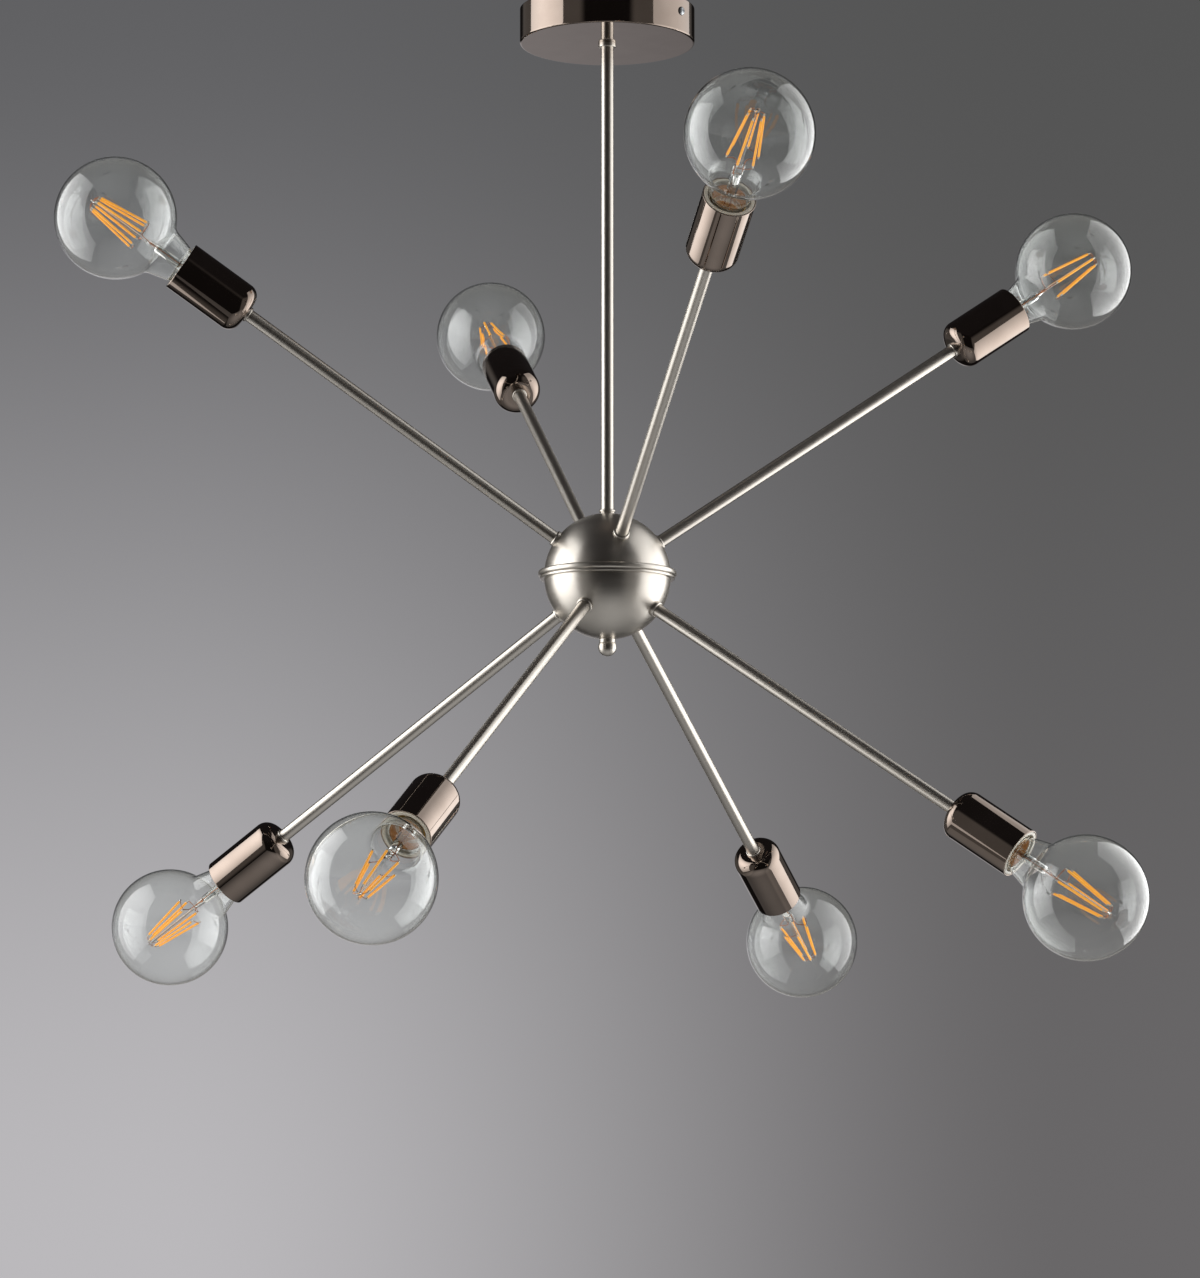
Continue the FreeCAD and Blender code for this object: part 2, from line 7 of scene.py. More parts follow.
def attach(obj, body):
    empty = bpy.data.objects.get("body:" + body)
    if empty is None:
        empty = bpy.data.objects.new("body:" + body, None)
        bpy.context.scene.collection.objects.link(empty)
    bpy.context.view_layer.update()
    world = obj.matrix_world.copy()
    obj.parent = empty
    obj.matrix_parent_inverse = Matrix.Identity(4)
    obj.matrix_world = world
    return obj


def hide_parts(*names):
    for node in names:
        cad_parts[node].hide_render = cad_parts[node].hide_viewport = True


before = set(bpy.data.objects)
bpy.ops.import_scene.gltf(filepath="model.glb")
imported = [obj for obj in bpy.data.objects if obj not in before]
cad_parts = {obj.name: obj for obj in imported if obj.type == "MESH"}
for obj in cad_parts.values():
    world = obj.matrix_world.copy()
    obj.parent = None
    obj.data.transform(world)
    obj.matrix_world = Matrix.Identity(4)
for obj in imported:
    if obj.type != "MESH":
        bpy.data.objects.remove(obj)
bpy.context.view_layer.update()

# ---- Camera ----------------------------------------------
# A long lens stands 3.7 m in front of the ball and half a metre below it, and is tipped up a
# little, so that the ball sits at the middle of the frame and the canopy at its top edge.

BALL_Z = -0.458
photo_long_side = 1278
focal_pixels = 4709
camera_distance = 3.676
camera_drop = 0.52
camera_pitch = math.radians(7.29)
camera_yaw = math.radians(-0.09)

camera_data = bpy.data.cameras.new("camera")
camera_data.sensor_width = 36
camera_data.lens = focal_pixels * camera_data.sensor_width / photo_long_side
camera = bpy.data.objects.new("camera", camera_data)
camera.location = (0, -camera_distance, BALL_Z - camera_drop)
camera.rotation_euler = (math.radians(90) + camera_pitch, 0, -camera_yaw)
bpy.context.collection.objects.link(camera)
bpy.context.scene.camera = camera

# ---- Studio ----------------------------------------------
# Two tall softboxes stand left and right of the lamp in a dark room, the lit floor sends a
# little light back up, and matt surfaces get an even fill. The backdrop is a plain soft grey
# that pales towards its foot, most of all at the left.

fade_reach = 1.3  # metres from a softbox's hot spot to where it is dimmest
bulb_crossed = 2.5  # a ray that has met more glass than this went through a whole bulb
bounce_weight = -10  # a ray that has met anything but glass is left out of that count


def linear(hex_colour):
    """Blender's linear colour from an sRGB hex value."""
    parts = [int(hex_colour[k : k + 2], 16) / 255 for k in (1, 3, 5)]
    return [c / 12.92 if c <= 0.04045 else ((c + 0.055) / 1.055) ** 2.4 for c in parts] + [1]


def add_node(tree, kind, inputs, stops=(), **settings):
    """Add a node: its settings, its colour stops, and a value or a link for each input."""
    node = tree.nodes.new(kind)
    for name, value in settings.items():
        setattr(node, name, value)
    for name, value in inputs.items():
        if isinstance(value, bpy.types.NodeSocket):
            tree.links.new(value, node.inputs[name])
        else:
            node.inputs[name].default_value = value
    for k, (place, colour) in enumerate(stops):
        ramp = node.color_ramp.elements
        stop = ramp[k] if k < 2 else ramp.new(place)
        stop.position, stop.color = place, linear(colour)
    return node


def add_softbox(name, centre, facing, width, height, hot_spot, peak, edge):
    """Hang a panel of light that faces one way and dims away from its hot spot. Both places
    are measured from the ball. It doesn't show straight through a bulb, only at its rim."""
    panel = bpy.data.lights.new(name, "AREA")
    panel.shape = "RECTANGLE"
    panel.size, panel.size_y = width, height
    panel.energy = math.pi * width * height
    panel.use_nodes = True
    tree = panel.node_tree
    tree.nodes.clear()
    place = add_node(tree, "ShaderNodeNewGeometry", {}).outputs["Position"]
    brightest = Vector(hot_spot) + Vector((0, 0, BALL_Z))
    away = add_node(
        tree, "ShaderNodeVectorMath", {0: place, 1: brightest}, operation="DISTANCE"
    )
    power = add_node(
        tree,
        "ShaderNodeMapRange",
        {
            "Value": away.outputs["Value"],
            "From Max": fade_reach,
            "To Min": peak,
            "To Max": edge,
        },
        interpolation_type="SMOOTHSTEP",
    )
    ray = add_node(tree, "ShaderNodeLightPath", {})
    bounces = add_node(
        tree,
        "ShaderNodeMath",
        {0: ray.outputs["Glossy Depth"], 1: ray.outputs["Diffuse Depth"]},
        operation="ADD",
    )
    walls = add_node(
        tree,
        "ShaderNodeMath",
        {0: bounces.outputs["Value"], 1: bounce_weight, 2: ray.outputs["Transmission Depth"]},
        operation="MULTIPLY_ADD",
    )
    through = add_node(
        tree,
        "ShaderNodeMath",
        {0: walls.outputs["Value"], 1: bulb_crossed},
        operation="GREATER_THAN",
    )
    shown = add_node(
        tree,
        "ShaderNodeMapRange",
        {"Value": through.outputs["Value"], "To Min": power.outputs["Result"], "To Max": 0},
    )
    glow = add_node(tree, "ShaderNodeEmission", {"Strength": shown.outputs["Result"]})
    add_node(tree, "ShaderNodeOutputLight", {"Surface": glow.outputs["Emission"]})
    stand = bpy.data.objects.new(name, panel)
    stand.location = Vector(centre) + Vector((0, 0, BALL_Z))
    stand.rotation_euler = Vector(facing).to_track_quat("-Z", "Y").to_euler()
    stand.visible_camera = False
    bpy.context.collection.objects.link(stand)


add_softbox(
    "softbox_right",
    centre=(0.9, 0.185, 0.25),
    facing=(-1, 0, -0.09),
    width=1.33,
    height=2.31,
    hot_spot=(1, 0.5, -0.1),
    peak=2.4,
    edge=0.8,
)
add_softbox(
    "softbox_left",
    centre=(-1.075, -0.04, 0.11),
    facing=(1, 0.04, -0.05),
    width=1.18,
    height=2.08,
    hot_spot=(-1.1, 0, 0.3),
    peak=2.8,
    edge=0.8,
)
add_softbox(
    "floor_glow",
    centre=(0.15, 0, -1.03),
    facing=(0, 0, 1),
    width=2.2,
    height=2.4,
    hot_spot=(0.1, -0.3, -1.03),
    peak=0.42,
    edge=0.12,
)

world = bpy.data.worlds.new("studio")
world.use_nodes = True
bpy.context.scene.world = world
bpy.context.scene.view_settings.view_transform = "Standard"
tree = world.node_tree
tree.nodes.clear()
ray = add_node(tree, "ShaderNodeTexCoord", {}).outputs["Generated"]
along = add_node(tree, "ShaderNodeSeparateXYZ", {"Vector": ray})


def between(source, start, end):
    """How far a direction's part has come from a start to an end, from 0 to 1."""
    node = add_node(
        tree,
        "ShaderNodeMapRange",
        {"Value": source, "From Min": start, "From Max": end},
        interpolation_type="SMOOTHSTEP",
    )
    return node.outputs["Result"]


def blended(share, first, second):
    """Colour between two others."""
    node = add_node(
        tree, "ShaderNodeMix", {"Factor": share, "A": first, "B": second}, data_type="RGBA"
    )
    return node.outputs["Result"]


left_to_right = between(along.outputs["X"], -0.1, 0.1)
head_to_foot = between(along.outputs["Z"], 0.27, -0.01)
upper = blended(left_to_right, linear("#606062"), linear("#545454"))
lower = blended(left_to_right, linear("#BBB9BC"), linear("#696768"))
backdrop = blended(head_to_foot, upper, lower)

aside = add_node(tree, "ShaderNodeMath", {0: along.outputs["X"]}, operation="ABSOLUTE")
to_side_walls = between(aside.outputs["Value"], 0.45, 0.6)
to_ceiling = between(along.outputs["Z"], 0.3, 0.5)
to_backdrop = between(along.outputs["Y"], 0.93, 0.97)
room = blended(to_side_walls, linear("#1C1A1A"), linear("#6A6866"))
room = blended(to_ceiling, room, linear("#252324"))
room = blended(to_backdrop, room, backdrop)

ray_kind = add_node(tree, "ShaderNodeLightPath", {})
direct = add_node(
    tree,
    "ShaderNodeMath",
    {0: ray_kind.outputs["Is Camera Ray"], 1: ray_kind.outputs["Is Transmission Ray"]},
    operation="ADD",
    use_clamp=True,
)
matt_fill = linear("#C4C1BD")
reflected = blended(ray_kind.outputs["Is Glossy Ray"], matt_fill, room)
seen = blended(direct.outputs["Value"], reflected, backdrop)
sky = add_node(tree, "ShaderNodeBackground", {"Color": seen})
add_node(tree, "ShaderNodeOutputWorld", {"Surface": sky.outputs["Background"]})

# ---- Floor -----------------------------------------------
# Painted studio floor, 3.4 m under the ceiling. It is out of the camera's sight in the main
# picture, and is not part of the lamp.


def blank_material(name):
    """New material with an empty node tree."""
    material = bpy.data.materials.new(name)
    material.use_nodes = True
    material.node_tree.nodes.clear()
    return material


floor_depth = 3.4
floor_radius = 40
patches_per_metre = 1.5
floor_paint = blank_material("matt_floor_paint")
tree = floor_paint.node_tree
place = add_node(tree, "ShaderNodeTexCoord", {}).outputs["Object"]
mottle = add_node(
    tree, "ShaderNodeTexNoise", {"Vector": place, "Scale": patches_per_metre, "Detail": 3}
)
shade = add_node(
    tree,
    "ShaderNodeValToRGB",
    {"Fac": mottle.outputs["Fac"]},
    stops=[(0.3, "#E4E2E0"), (0.7, "#E8E6E4")],
)
paint = add_node(
    tree,
    "ShaderNodeBsdfPrincipled",
    {"Base Color": shade.outputs["Color"], "Roughness": 0.8},
)
add_node(tree, "ShaderNodeOutputMaterial", {"Surface": paint.outputs["BSDF"]})

bm = bmesh.new()
bmesh.ops.create_circle(
    bm,
    cap_ends=True,
    segments=96,
    radius=floor_radius,
    matrix=Matrix.Translation((0, 0, -floor_depth)),
)
floor_mesh = bpy.data.meshes.new("floor")
bm.to_mesh(floor_mesh)
bm.free()
floor_mesh.materials.append(floor_paint)
floor = bpy.data.objects.new("floor", floor_mesh)
floor.visible_glossy = False
bpy.context.collection.objects.link(floor)

# ---- Ceiling bracket -------------------------------------
# Pressed strap with two tapped ears, screwed to the ceiling. Zinc plating leaves a bluish,
# slightly cloudy silver with a soft gloss, so two near greys are mixed in 6 mm clouds.

MM = 0.001


def dress(node_name, material):
    """Give a CAD node that stays in view its material."""
    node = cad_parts[node_name]
    node.data.materials.clear()
    node.data.materials.append(material)


cloud_size = 6 * MM
zinc_plating = blank_material("zinc_plating")
tree = zinc_plating.node_tree
place = add_node(tree, "ShaderNodeTexCoord", {}).outputs["Object"]
clouds = add_node(
    tree, "ShaderNodeTexNoise", {"Vector": place, "Scale": 1 / cloud_size, "Detail": 4}
)
tint = add_node(
    tree,
    "ShaderNodeValToRGB",
    {"Fac": clouds.outputs["Fac"]},
    stops=[(0.35, "#B9BEC4"), (0.65, "#D3D6D8")],
)
gloss = add_node(
    tree,
    "ShaderNodeMapRange",
    {"Value": clouds.outputs["Fac"], "To Min": 0.28, "To Max": 0.48},
)
metal = add_node(
    tree,
    "ShaderNodeBsdfPrincipled",
    {"Base Color": tint.outputs["Color"], "Metallic": 1, "Roughness": gloss.outputs["Result"]},
)
add_node(tree, "ShaderNodeOutputMaterial", {"Surface": metal.outputs["BSDF"]})

dress("ceiling_bracket", zinc_plating)

# ---- Terminal block --------------------------------------
# Moulded polyamide block with three poles under the strap: milky white, a little translucent
# and matt, with the faint unevenness of a mould, and a painted glow in its own milky colour
# that the driver rings in the bulbs share.

dimples_per_mm = 0.4
polyamide = blank_material("natural_polyamide_painted_glow")
tree = polyamide.node_tree
place = add_node(tree, "ShaderNodeTexCoord", {}).outputs["Object"]
mould = add_node(
    tree, "ShaderNodeTexNoise", {"Vector": place, "Scale": dimples_per_mm / MM, "Detail": 2}
)
uneven = add_node(
    tree,
    "ShaderNodeBump",
    {"Height": mould.outputs["Fac"], "Strength": 0.15, "Distance": 0.2 * MM},
)
milky = add_node(
    tree,
    "ShaderNodeValToRGB",
    {"Fac": mould.outputs["Fac"]},
    stops=[(0.3, "#E4E1D6"), (0.7, "#EFEDE4")],
)
plastic = add_node(
    tree,
    "ShaderNodeBsdfPrincipled",
    {
        "Base Color": milky.outputs["Color"],
        "Roughness": 0.5,
        "Normal": uneven.outputs["Normal"],
        "Subsurface Weight": 0.1,
        "Subsurface Scale": 2 * MM,
        # painted glow: the block and the driver rings give off light in their own milky colour
        "Emission Color": milky.outputs["Color"],
        "Emission Strength": 0.15,
    },
)
add_node(tree, "ShaderNodeOutputMaterial", {"Surface": plastic.outputs["BSDF"]})

dress("terminal_block", polyamide)

# ---- Canopy ----------------------------------------------
# Shallow spun cup against the ceiling, polished and plated black nickel: a dark, slightly
# rosy mirror, with a trace of smears where it was handled and wiped.

LATHE_STEP = math.radians(6)
longest_facet = 1.5  # on an arc, in millimetres
flat_hold = 0.35  # a vertex this near each end of a straight run keeps its shading flat
merge_gap = 1e-4  # corners nearer than this are joined


def turned(*steps, sides=96, wall=0):
    """Mesh turned about Z, in millimetres. A step is a corner (radius, height), with a third
    number where it is rounded, or ((radius, height), degrees): an arc about that centre."""
    bm = bmesh.new()
    reached = bm.verts.layers.float.new("reached")
    pen = start = bm.verts.new((steps[0][0], 0, steps[0][1]))
    rounded = []
    for step in steps[1:]:
        if isinstance(step[0], tuple):
            centre = Vector((step[0][0], 0, step[0][1]))
            turn = math.radians(step[1])
            fine = min(LATHE_STEP, longest_facet / (pen.co - centre).length)
            swept = bmesh.ops.spin(
                bm,
                geom=[pen],
                cent=centre,
                axis=(0, 1, 0),
                angle=turn,
                steps=math.ceil(abs(turn) / fine),
            )
            pen = next(v for v in swept["geom_last"] if isinstance(v, bmesh.types.BMVert))
        else:
            pen = bmesh.ops.extrude_vert_indiv(bm, verts=[pen])["verts"][0]
            pen.co = (step[0], 0, step[1])
            if len(step) == 3:
                rounded.append((pen, step[2]))
    for corner, rounding in rounded:
        runs = [edge.other_vert(corner).co - corner.co for edge in corner.link_edges]
        half_angle = runs[0].angle(runs[1]) / 2
        facets = round((math.pi - 2 * half_angle) / LATHE_STEP)
        bmesh.ops.bevel(
            bm,
            geom=[corner],
            offset=rounding / math.tan(half_angle),
            offset_type="OFFSET",
            segments=max(3, facets) if rounding > 1 else 4,
            profile=0.5,
            affect="VERTICES",
            material=-1,
        )
    for edge in list(bm.edges):
        length = edge.calc_length()
        if length > 8 * flat_hold:
            near, far = edge.verts
            rest, _ = bmesh.utils.edge_split(edge, near, flat_hold / length)
            long = rest if far in rest.verts else edge
            bmesh.utils.edge_split(long, far, flat_hold / long.calc_length())
    here, before, total = start, None, 0
    while here is not None:
        here[reached] = total
        ahead = [edge.other_vert(here) for edge in here.link_edges]
        ahead = [vert for vert in ahead if vert is not before]
        if not ahead:
            break
        total += (ahead[0].co - here.co).length
        here, before = ahead[0], here
    bmesh.ops.spin(
        bm,
        geom=bm.verts[:] + bm.edges[:],
        cent=(0, 0, 0),
        axis=(0, 0, 1),
        angle=math.tau,
        steps=sides,
        use_merge=True,
    )
    unrolled = bm.loops.layers.uv.new("unrolled")
    grain = bm.loops.layers.float_vector.new("grain")
    for face in bm.faces:
        middle = face.calc_center_median()
        facing = math.atan2(middle.y, middle.x)
        for loop in face.loops:
            x, y, _ = loop.vert.co
            turn = facing
            if math.hypot(x, y) > merge_gap:
                turn += math.remainder(math.atan2(y, x) - facing, math.tau)
            distance = loop.vert[reached] * MM
            loop[unrolled].uv = (turn / math.tau, distance)
            loop[grain] = (x * MM, y * MM, distance)
    bmesh.ops.remove_doubles(bm, verts=bm.verts, dist=merge_gap)
    bmesh.ops.recalc_face_normals(bm, faces=bm.faces)
    if wall:
        bmesh.ops.solidify(bm, geom=bm.faces, thickness=wall)
    return bm


def as_mesh(*solids):
    """One mesh, shaded smooth but for its real edges, from one or more bmeshes."""
    whole = bpy.data.meshes.new("turned")
    joined = bmesh.new()
    for bm in solids:
        part = bpy.data.meshes.new("part")
        bm.to_mesh(part)
        bm.free()
        joined.from_mesh(part)
        bpy.data.meshes.remove(part)
    joined.to_mesh(whole)
    joined.free()
    whole.shade_smooth()
    whole.set_sharp_from_angle(angle=math.radians(40))
    return whole


def add_piece(name, shape, places, material, body, slot, *nodes):
    """Put one or more copies of a shape in place as one object that rides on a body."""
    bm = bmesh.new()
    for place in places:
        first = len(bm.verts)
        bm.from_mesh(shape)
        bm.verts.ensure_lookup_table()
        bmesh.ops.transform(bm, matrix=place, verts=bm.verts[first:])
    mesh = bpy.data.meshes.new(name)
    bm.to_mesh(mesh)
    bm.free()
    mesh.materials.append(material)
    piece = bpy.data.objects.new(name, mesh)
    bpy.context.collection.objects.link(piece)
    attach(piece, body)
    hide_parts(*nodes)


smear_size = 20 * MM
black_nickel = blank_material("polished_black_nickel")
tree = black_nickel.node_tree
place = add_node(tree, "ShaderNodeTexCoord", {}).outputs["Object"]
smears = add_node(
    tree, "ShaderNodeTexNoise", {"Vector": place, "Scale": 1 / smear_size, "Detail": 5}
)
gloss = add_node(
    tree,
    "ShaderNodeMapRange",
    {"Value": smears.outputs["Fac"], "From Min": 0.4, "To Min": 0.035, "To Max": 0.09},
)
rosy = add_node(
    tree,
    "ShaderNodeValToRGB",
    {"Fac": smears.outputs["Fac"]},
    stops=[(0.3, "#95877D"), (0.7, "#9D8F85")],
)
metal = add_node(
    tree,
    "ShaderNodeBsdfPrincipled",
    {"Base Color": rosy.outputs["Color"], "Metallic": 1, "Roughness": gloss.outputs["Result"]},
)
add_node(tree, "ShaderNodeOutputMaterial", {"Surface": metal.outputs["BSDF"]})

ceiling = Matrix.Scale(MM, 4)
canopy_radius = 70
canopy_depth = 28
sheet = 1
tube_hole = 5.15
canopy_shape = as_mesh(
    turned(
        (tube_hole, sheet - canopy_depth),
        (canopy_radius - sheet, sheet - canopy_depth, 0.6),
        (canopy_radius - sheet, 0, 0.4),
        (canopy_radius, 0, 0.4),
        (canopy_radius, -canopy_depth, 1.6),
        (tube_hole, -canopy_depth),
        (tube_hole, sheet - canopy_depth),
        sides=160,
    )
)
add_piece(
    "canopy_spun",
    canopy_shape,
    [ceiling],
    black_nickel,
    "hanging_frame",
    "black_nickel",
    "canopy",
)

# ---- Canopy side screws ----------------------------------
# Two domed machine screws hold the canopy to the bracket's ears. They are cold-headed
# steel with a pressed cross recess, zinc plated like the bracket.


def drilled(shape, *cutters):
    """Cut solids out of a mesh with booleans, and give back the new mesh."""
    blank = bpy.data.objects.new("blank", shape)
    bpy.context.collection.objects.link(blank)
    tools = []
    for cutter in cutters:
        tool = bpy.data.objects.new("tool", as_mesh(cutter))
        bpy.context.collection.objects.link(tool)
        cut = blank.modifiers.new("cut", "BOOLEAN")
        cut.object = tool
        cut.solver = "EXACT"
        tools.append(tool)
    seen = bpy.context.evaluated_depsgraph_get()
    cut_shape = bpy.data.meshes.new_from_object(blank.evaluated_get(seen))
    for used in [blank, *tools]:
        bpy.data.objects.remove(used)
    cut_shape.shade_smooth()
    cut_shape.set_sharp_from_angle(angle=math.radians(40))
    return cut_shape


screw_shape = as_mesh(
    turned(
        (0, 2.4),
        ((0, -1.8), 56.4),
        (3.5, 0, 0.2),
        (2, 0),
        (2, -5.3, 0.3),
        (0, -5.6),
        sides=48,
    )
)
recess_width, recess_length, recess_floor, punch_height = 0.9, 3.4, 1.2, 2
recess = []
for width, length in ((recess_width, recess_length), (recess_length, recess_width)):
    punch = bmesh.new()
    bmesh.ops.create_cube(punch, size=1)
    bmesh.ops.scale(punch, vec=(width, length, punch_height), verts=punch.verts)
    raised = (0, 0, recess_floor + punch_height / 2)
    bmesh.ops.translate(punch, vec=raised, verts=punch.verts)
    recess.append(punch)
screw_shape = drilled(screw_shape, *recess)
screw_azimuth = 57
screw_height = -11
screws = []
for azimuth in (screw_azimuth, screw_azimuth + 180):
    swing = Matrix.Rotation(math.radians(azimuth), 4, "Z")
    outwards = swing @ Matrix.Rotation(math.radians(90), 4, "X")
    screws.append(
        ceiling
        @ Matrix.Translation((0, 0, screw_height))
        @ outwards
        @ Matrix.Translation((0, 0, canopy_radius))
    )
add_piece(
    "side_screws",
    screw_shape,
    screws,
    zinc_plating,
    "hanging_frame",
    "zinc_plated_steel",
    "canopy_side_screws",
)

# ---- Stem ------------------------------------------------
# Straight steel tube, plated and brushed to satin nickel on a lathe. The brushing runs round
# the tube, drawn about a millimetre apart so that it shows. It draws reflections out along
# the tube and blurs them less across, so the tangent follows the unrolled surface.

brush_spacing = 1 * MM
tone_size = 30 * MM
satin_nickel = blank_material("brushed_satin_nickel")
tree = satin_nickel.node_tree
grain = add_node(tree, "ShaderNodeAttribute", {}, attribute_name="grain").outputs["Vector"]
round_tube = add_node(
    tree,
    "ShaderNodeVectorMath",
    {0: grain, 1: (1 / tone_size, 1 / tone_size, 1 / brush_spacing)},
    operation="MULTIPLY",
)
lines = add_node(
    tree,
    "ShaderNodeTexNoise",
    {"Vector": round_tube.outputs["Vector"], "Scale": 1, "Detail": 3},
)
tones = add_node(
    tree, "ShaderNodeTexNoise", {"Vector": grain, "Scale": 1 / tone_size, "Detail": 3}
)
nickel = add_node(
    tree,
    "ShaderNodeValToRGB",
    {"Fac": tones.outputs["Fac"]},
    stops=[(0.3, "#D6D0C7"), (0.7, "#DDD7CE")],
)
gloss = add_node(
    tree,
    "ShaderNodeMapRange",
    {
        "Value": lines.outputs["Fac"],
        "From Min": 0.3,
        "From Max": 0.7,
        "To Min": 0.3,
        "To Max": 0.37,
    },
)
scratches = add_node(
    tree,
    "ShaderNodeBump",
    {"Height": lines.outputs["Fac"], "Strength": 0.03, "Distance": 0.03 * MM},
)
tangent = add_node(tree, "ShaderNodeTangent", {}, direction_type="UV_MAP", uv_map="unrolled")
metal = add_node(
    tree,
    "ShaderNodeBsdfPrincipled",
    {
        "Base Color": nickel.outputs["Color"],
        "Metallic": 1,
        "Roughness": gloss.outputs["Result"],
        "Normal": scratches.outputs["Normal"],
        "Anisotropic": 0.5,
        "Anisotropic Rotation": 0.25,
        "Tangent": tangent.outputs["Tangent"],
    },
)
add_node(tree, "ShaderNodeOutputMaterial", {"Surface": metal.outputs["BSDF"]})

tube_radius = 5
tube_bore = 4
stem_foot = -421.9
stem_top = -21.5
stem_shape = as_mesh(
    turned(
        (tube_bore, stem_foot),
        (tube_radius, stem_foot, 0.3),
        (tube_radius, stem_top, 0.3),
        (tube_bore, stem_top),
        (tube_bore, stem_foot),
        sides=48,
    )
)
add_piece(
    "stem_tube", stem_shape, [ceiling], satin_nickel, "hanging_frame", "satin_nickel", "stem"
)

# ---- Stem collars ----------------------------------------
# Turned brass rings in the same satin nickel: a plain one under the canopy, and one with a
# bead and a narrow neck where the stem enters the ball.

ball = Matrix.Translation((0, 0, BALL_Z)) @ ceiling
ring_bore = 5.05
canopy_collar = as_mesh(
    turned(
        (ring_bore, -canopy_depth),
        (7, -canopy_depth),
        (7, -31, 0.8),
        (ring_bore, -31),
        (ring_bore, -canopy_depth),
        sides=64,
    )
)
bead_collar = as_mesh(
    turned(
        (ring_bore, 49.74),
        (6.5, 49.57, 0.2),
        (5.7, 50.5, 0.5),
        (5.8, 51.1, 0.2),
        (6.5, 51.3, 0.4),
        (6.5, 53, 0.8),
        (ring_bore, 53),
        (ring_bore, 49.74),
        sides=64,
    )
)
add_piece(
    "canopy_collar",
    canopy_collar,
    [ceiling],
    satin_nickel,
    "hanging_frame",
    "satin_nickel",
    "stem_collars",
)
add_piece(
    "ball_collar",
    bead_collar,
    [ball],
    satin_nickel,
    "hanging_frame",
    "satin_nickel",
    "stem_collars",
)

# ---- Nuts, yoke and rod ----------------------------------
# Plated steel hardware inside the canopy and the ball: lock nuts, the bent yoke under the
# stem, and the threaded rod that draws up the lower half ball.

for hardware in ("centre_nuts", "hub_yoke", "hub_rod", "upper_arm_nuts", "lower_arm_nuts"):
    dress(hardware, zinc_plating)

# ---- Ball ------------------------------------------------
# Two spun half balls in satin nickel. The upper one carries a rolled band, the lower one a
# thin lip under it, and each is drilled for four arms.

ball_radius = 50
ball_inside = 48.8
arm_slope = 34
upper_lines = [(15 + 90 * k, arm_slope) for k in range(4)]
lower_lines = [(-25 + 90 * k, -arm_slope) for k in range(4)]


def along_arm(azimuth, elevation):
    """Place for a piece drawn along Z from the ball's centre, laid on an arm's line."""
    swing = Matrix.Rotation(math.radians(azimuth), 4, "Z")
    return ball @ swing @ Matrix.Rotation(math.radians(90 - elevation), 4, "X")


def arm_drills(lines):
    """One drill for each arm, in the ball's own millimetres."""
    drills = []
    for line in lines:
        drill = turned((0, 30), (tube_hole, 30), (tube_hole, 60), (0, 60), sides=48)
        bmesh.ops.transform(drill, matrix=ball.inverted() @ along_arm(*line), verts=drill.verts)
        drills.append(drill)
    return drills


def ball_point(radius, degrees):
    """Point of a sphere about the ball's centre; degrees from the top."""
    turn = math.radians(degrees)
    return radius * math.sin(turn), radius * math.cos(turn)


band_radius, band_top, band_foot = 54.7, 4.5, -0.5
upper_outer = math.degrees(math.acos(band_top / ball_radius))
upper_inner = math.degrees(math.acos(band_foot / ball_inside))
stem_outer = math.degrees(math.asin(tube_hole / ball_radius))
stem_inner = math.degrees(math.asin(tube_hole / ball_inside))
upper_ball = as_mesh(
    turned(
        ball_point(ball_radius, stem_outer),
        ((0, 0), upper_outer - stem_outer),
        (band_radius, band_top, 2.2),
        (band_radius, band_foot, 2.2),
        ball_point(ball_inside, upper_inner),
        ((0, 0), stem_inner - upper_inner),
        ball_point(ball_radius, stem_outer),
        sides=144,
    )
)
add_piece(
    "upper_half_ball",
    drilled(upper_ball, *arm_drills(upper_lines)),
    [ball],
    satin_nickel,
    "hanging_frame",
    "satin_nickel",
    "upper_hub_shell",
)

rod_hole = 3.15
lip_radius, lip_top, lip_foot = 53.25, -0.6, -2.6
spigot_top, spigot_gap = 2.9, 0.3
rod_outer = 180 - math.degrees(math.asin(rod_hole / ball_radius))
rod_inner = 180 - math.degrees(math.asin(rod_hole / ball_inside))
lower_outer = math.degrees(math.acos(lip_foot / ball_radius))
lower_inner = math.degrees(math.acos(lip_foot / ball_inside))
spigot = math.sqrt(ball_inside**2 - spigot_top**2) - spigot_gap
lower_ball = as_mesh(
    turned(
        ball_point(ball_radius, rod_outer),
        ((0, 0), lower_outer - rod_outer),
        (lip_radius, lip_foot, 0.8),
        (lip_radius, lip_top, 0.3),
        (spigot, lip_top),
        (spigot, spigot_top, 0.3),
        (spigot - sheet, spigot_top),
        (spigot - sheet, lip_foot),
        ball_point(ball_inside, lower_inner),
        ((0, 0), rod_inner - lower_inner),
        ball_point(ball_radius, rod_outer),
        sides=144,
    )
)
add_piece(
    "lower_half_ball",
    drilled(lower_ball, *arm_drills(lower_lines)),
    [ball],
    satin_nickel,
    "lower_hub",
    "satin_nickel",
    "lower_hub_shell",
)

# ---- Finial ----------------------------------------------
# Turned brass knob with a collar, brushed and plated like the stem. It is screwed up the rod
# and closes the ball from below.

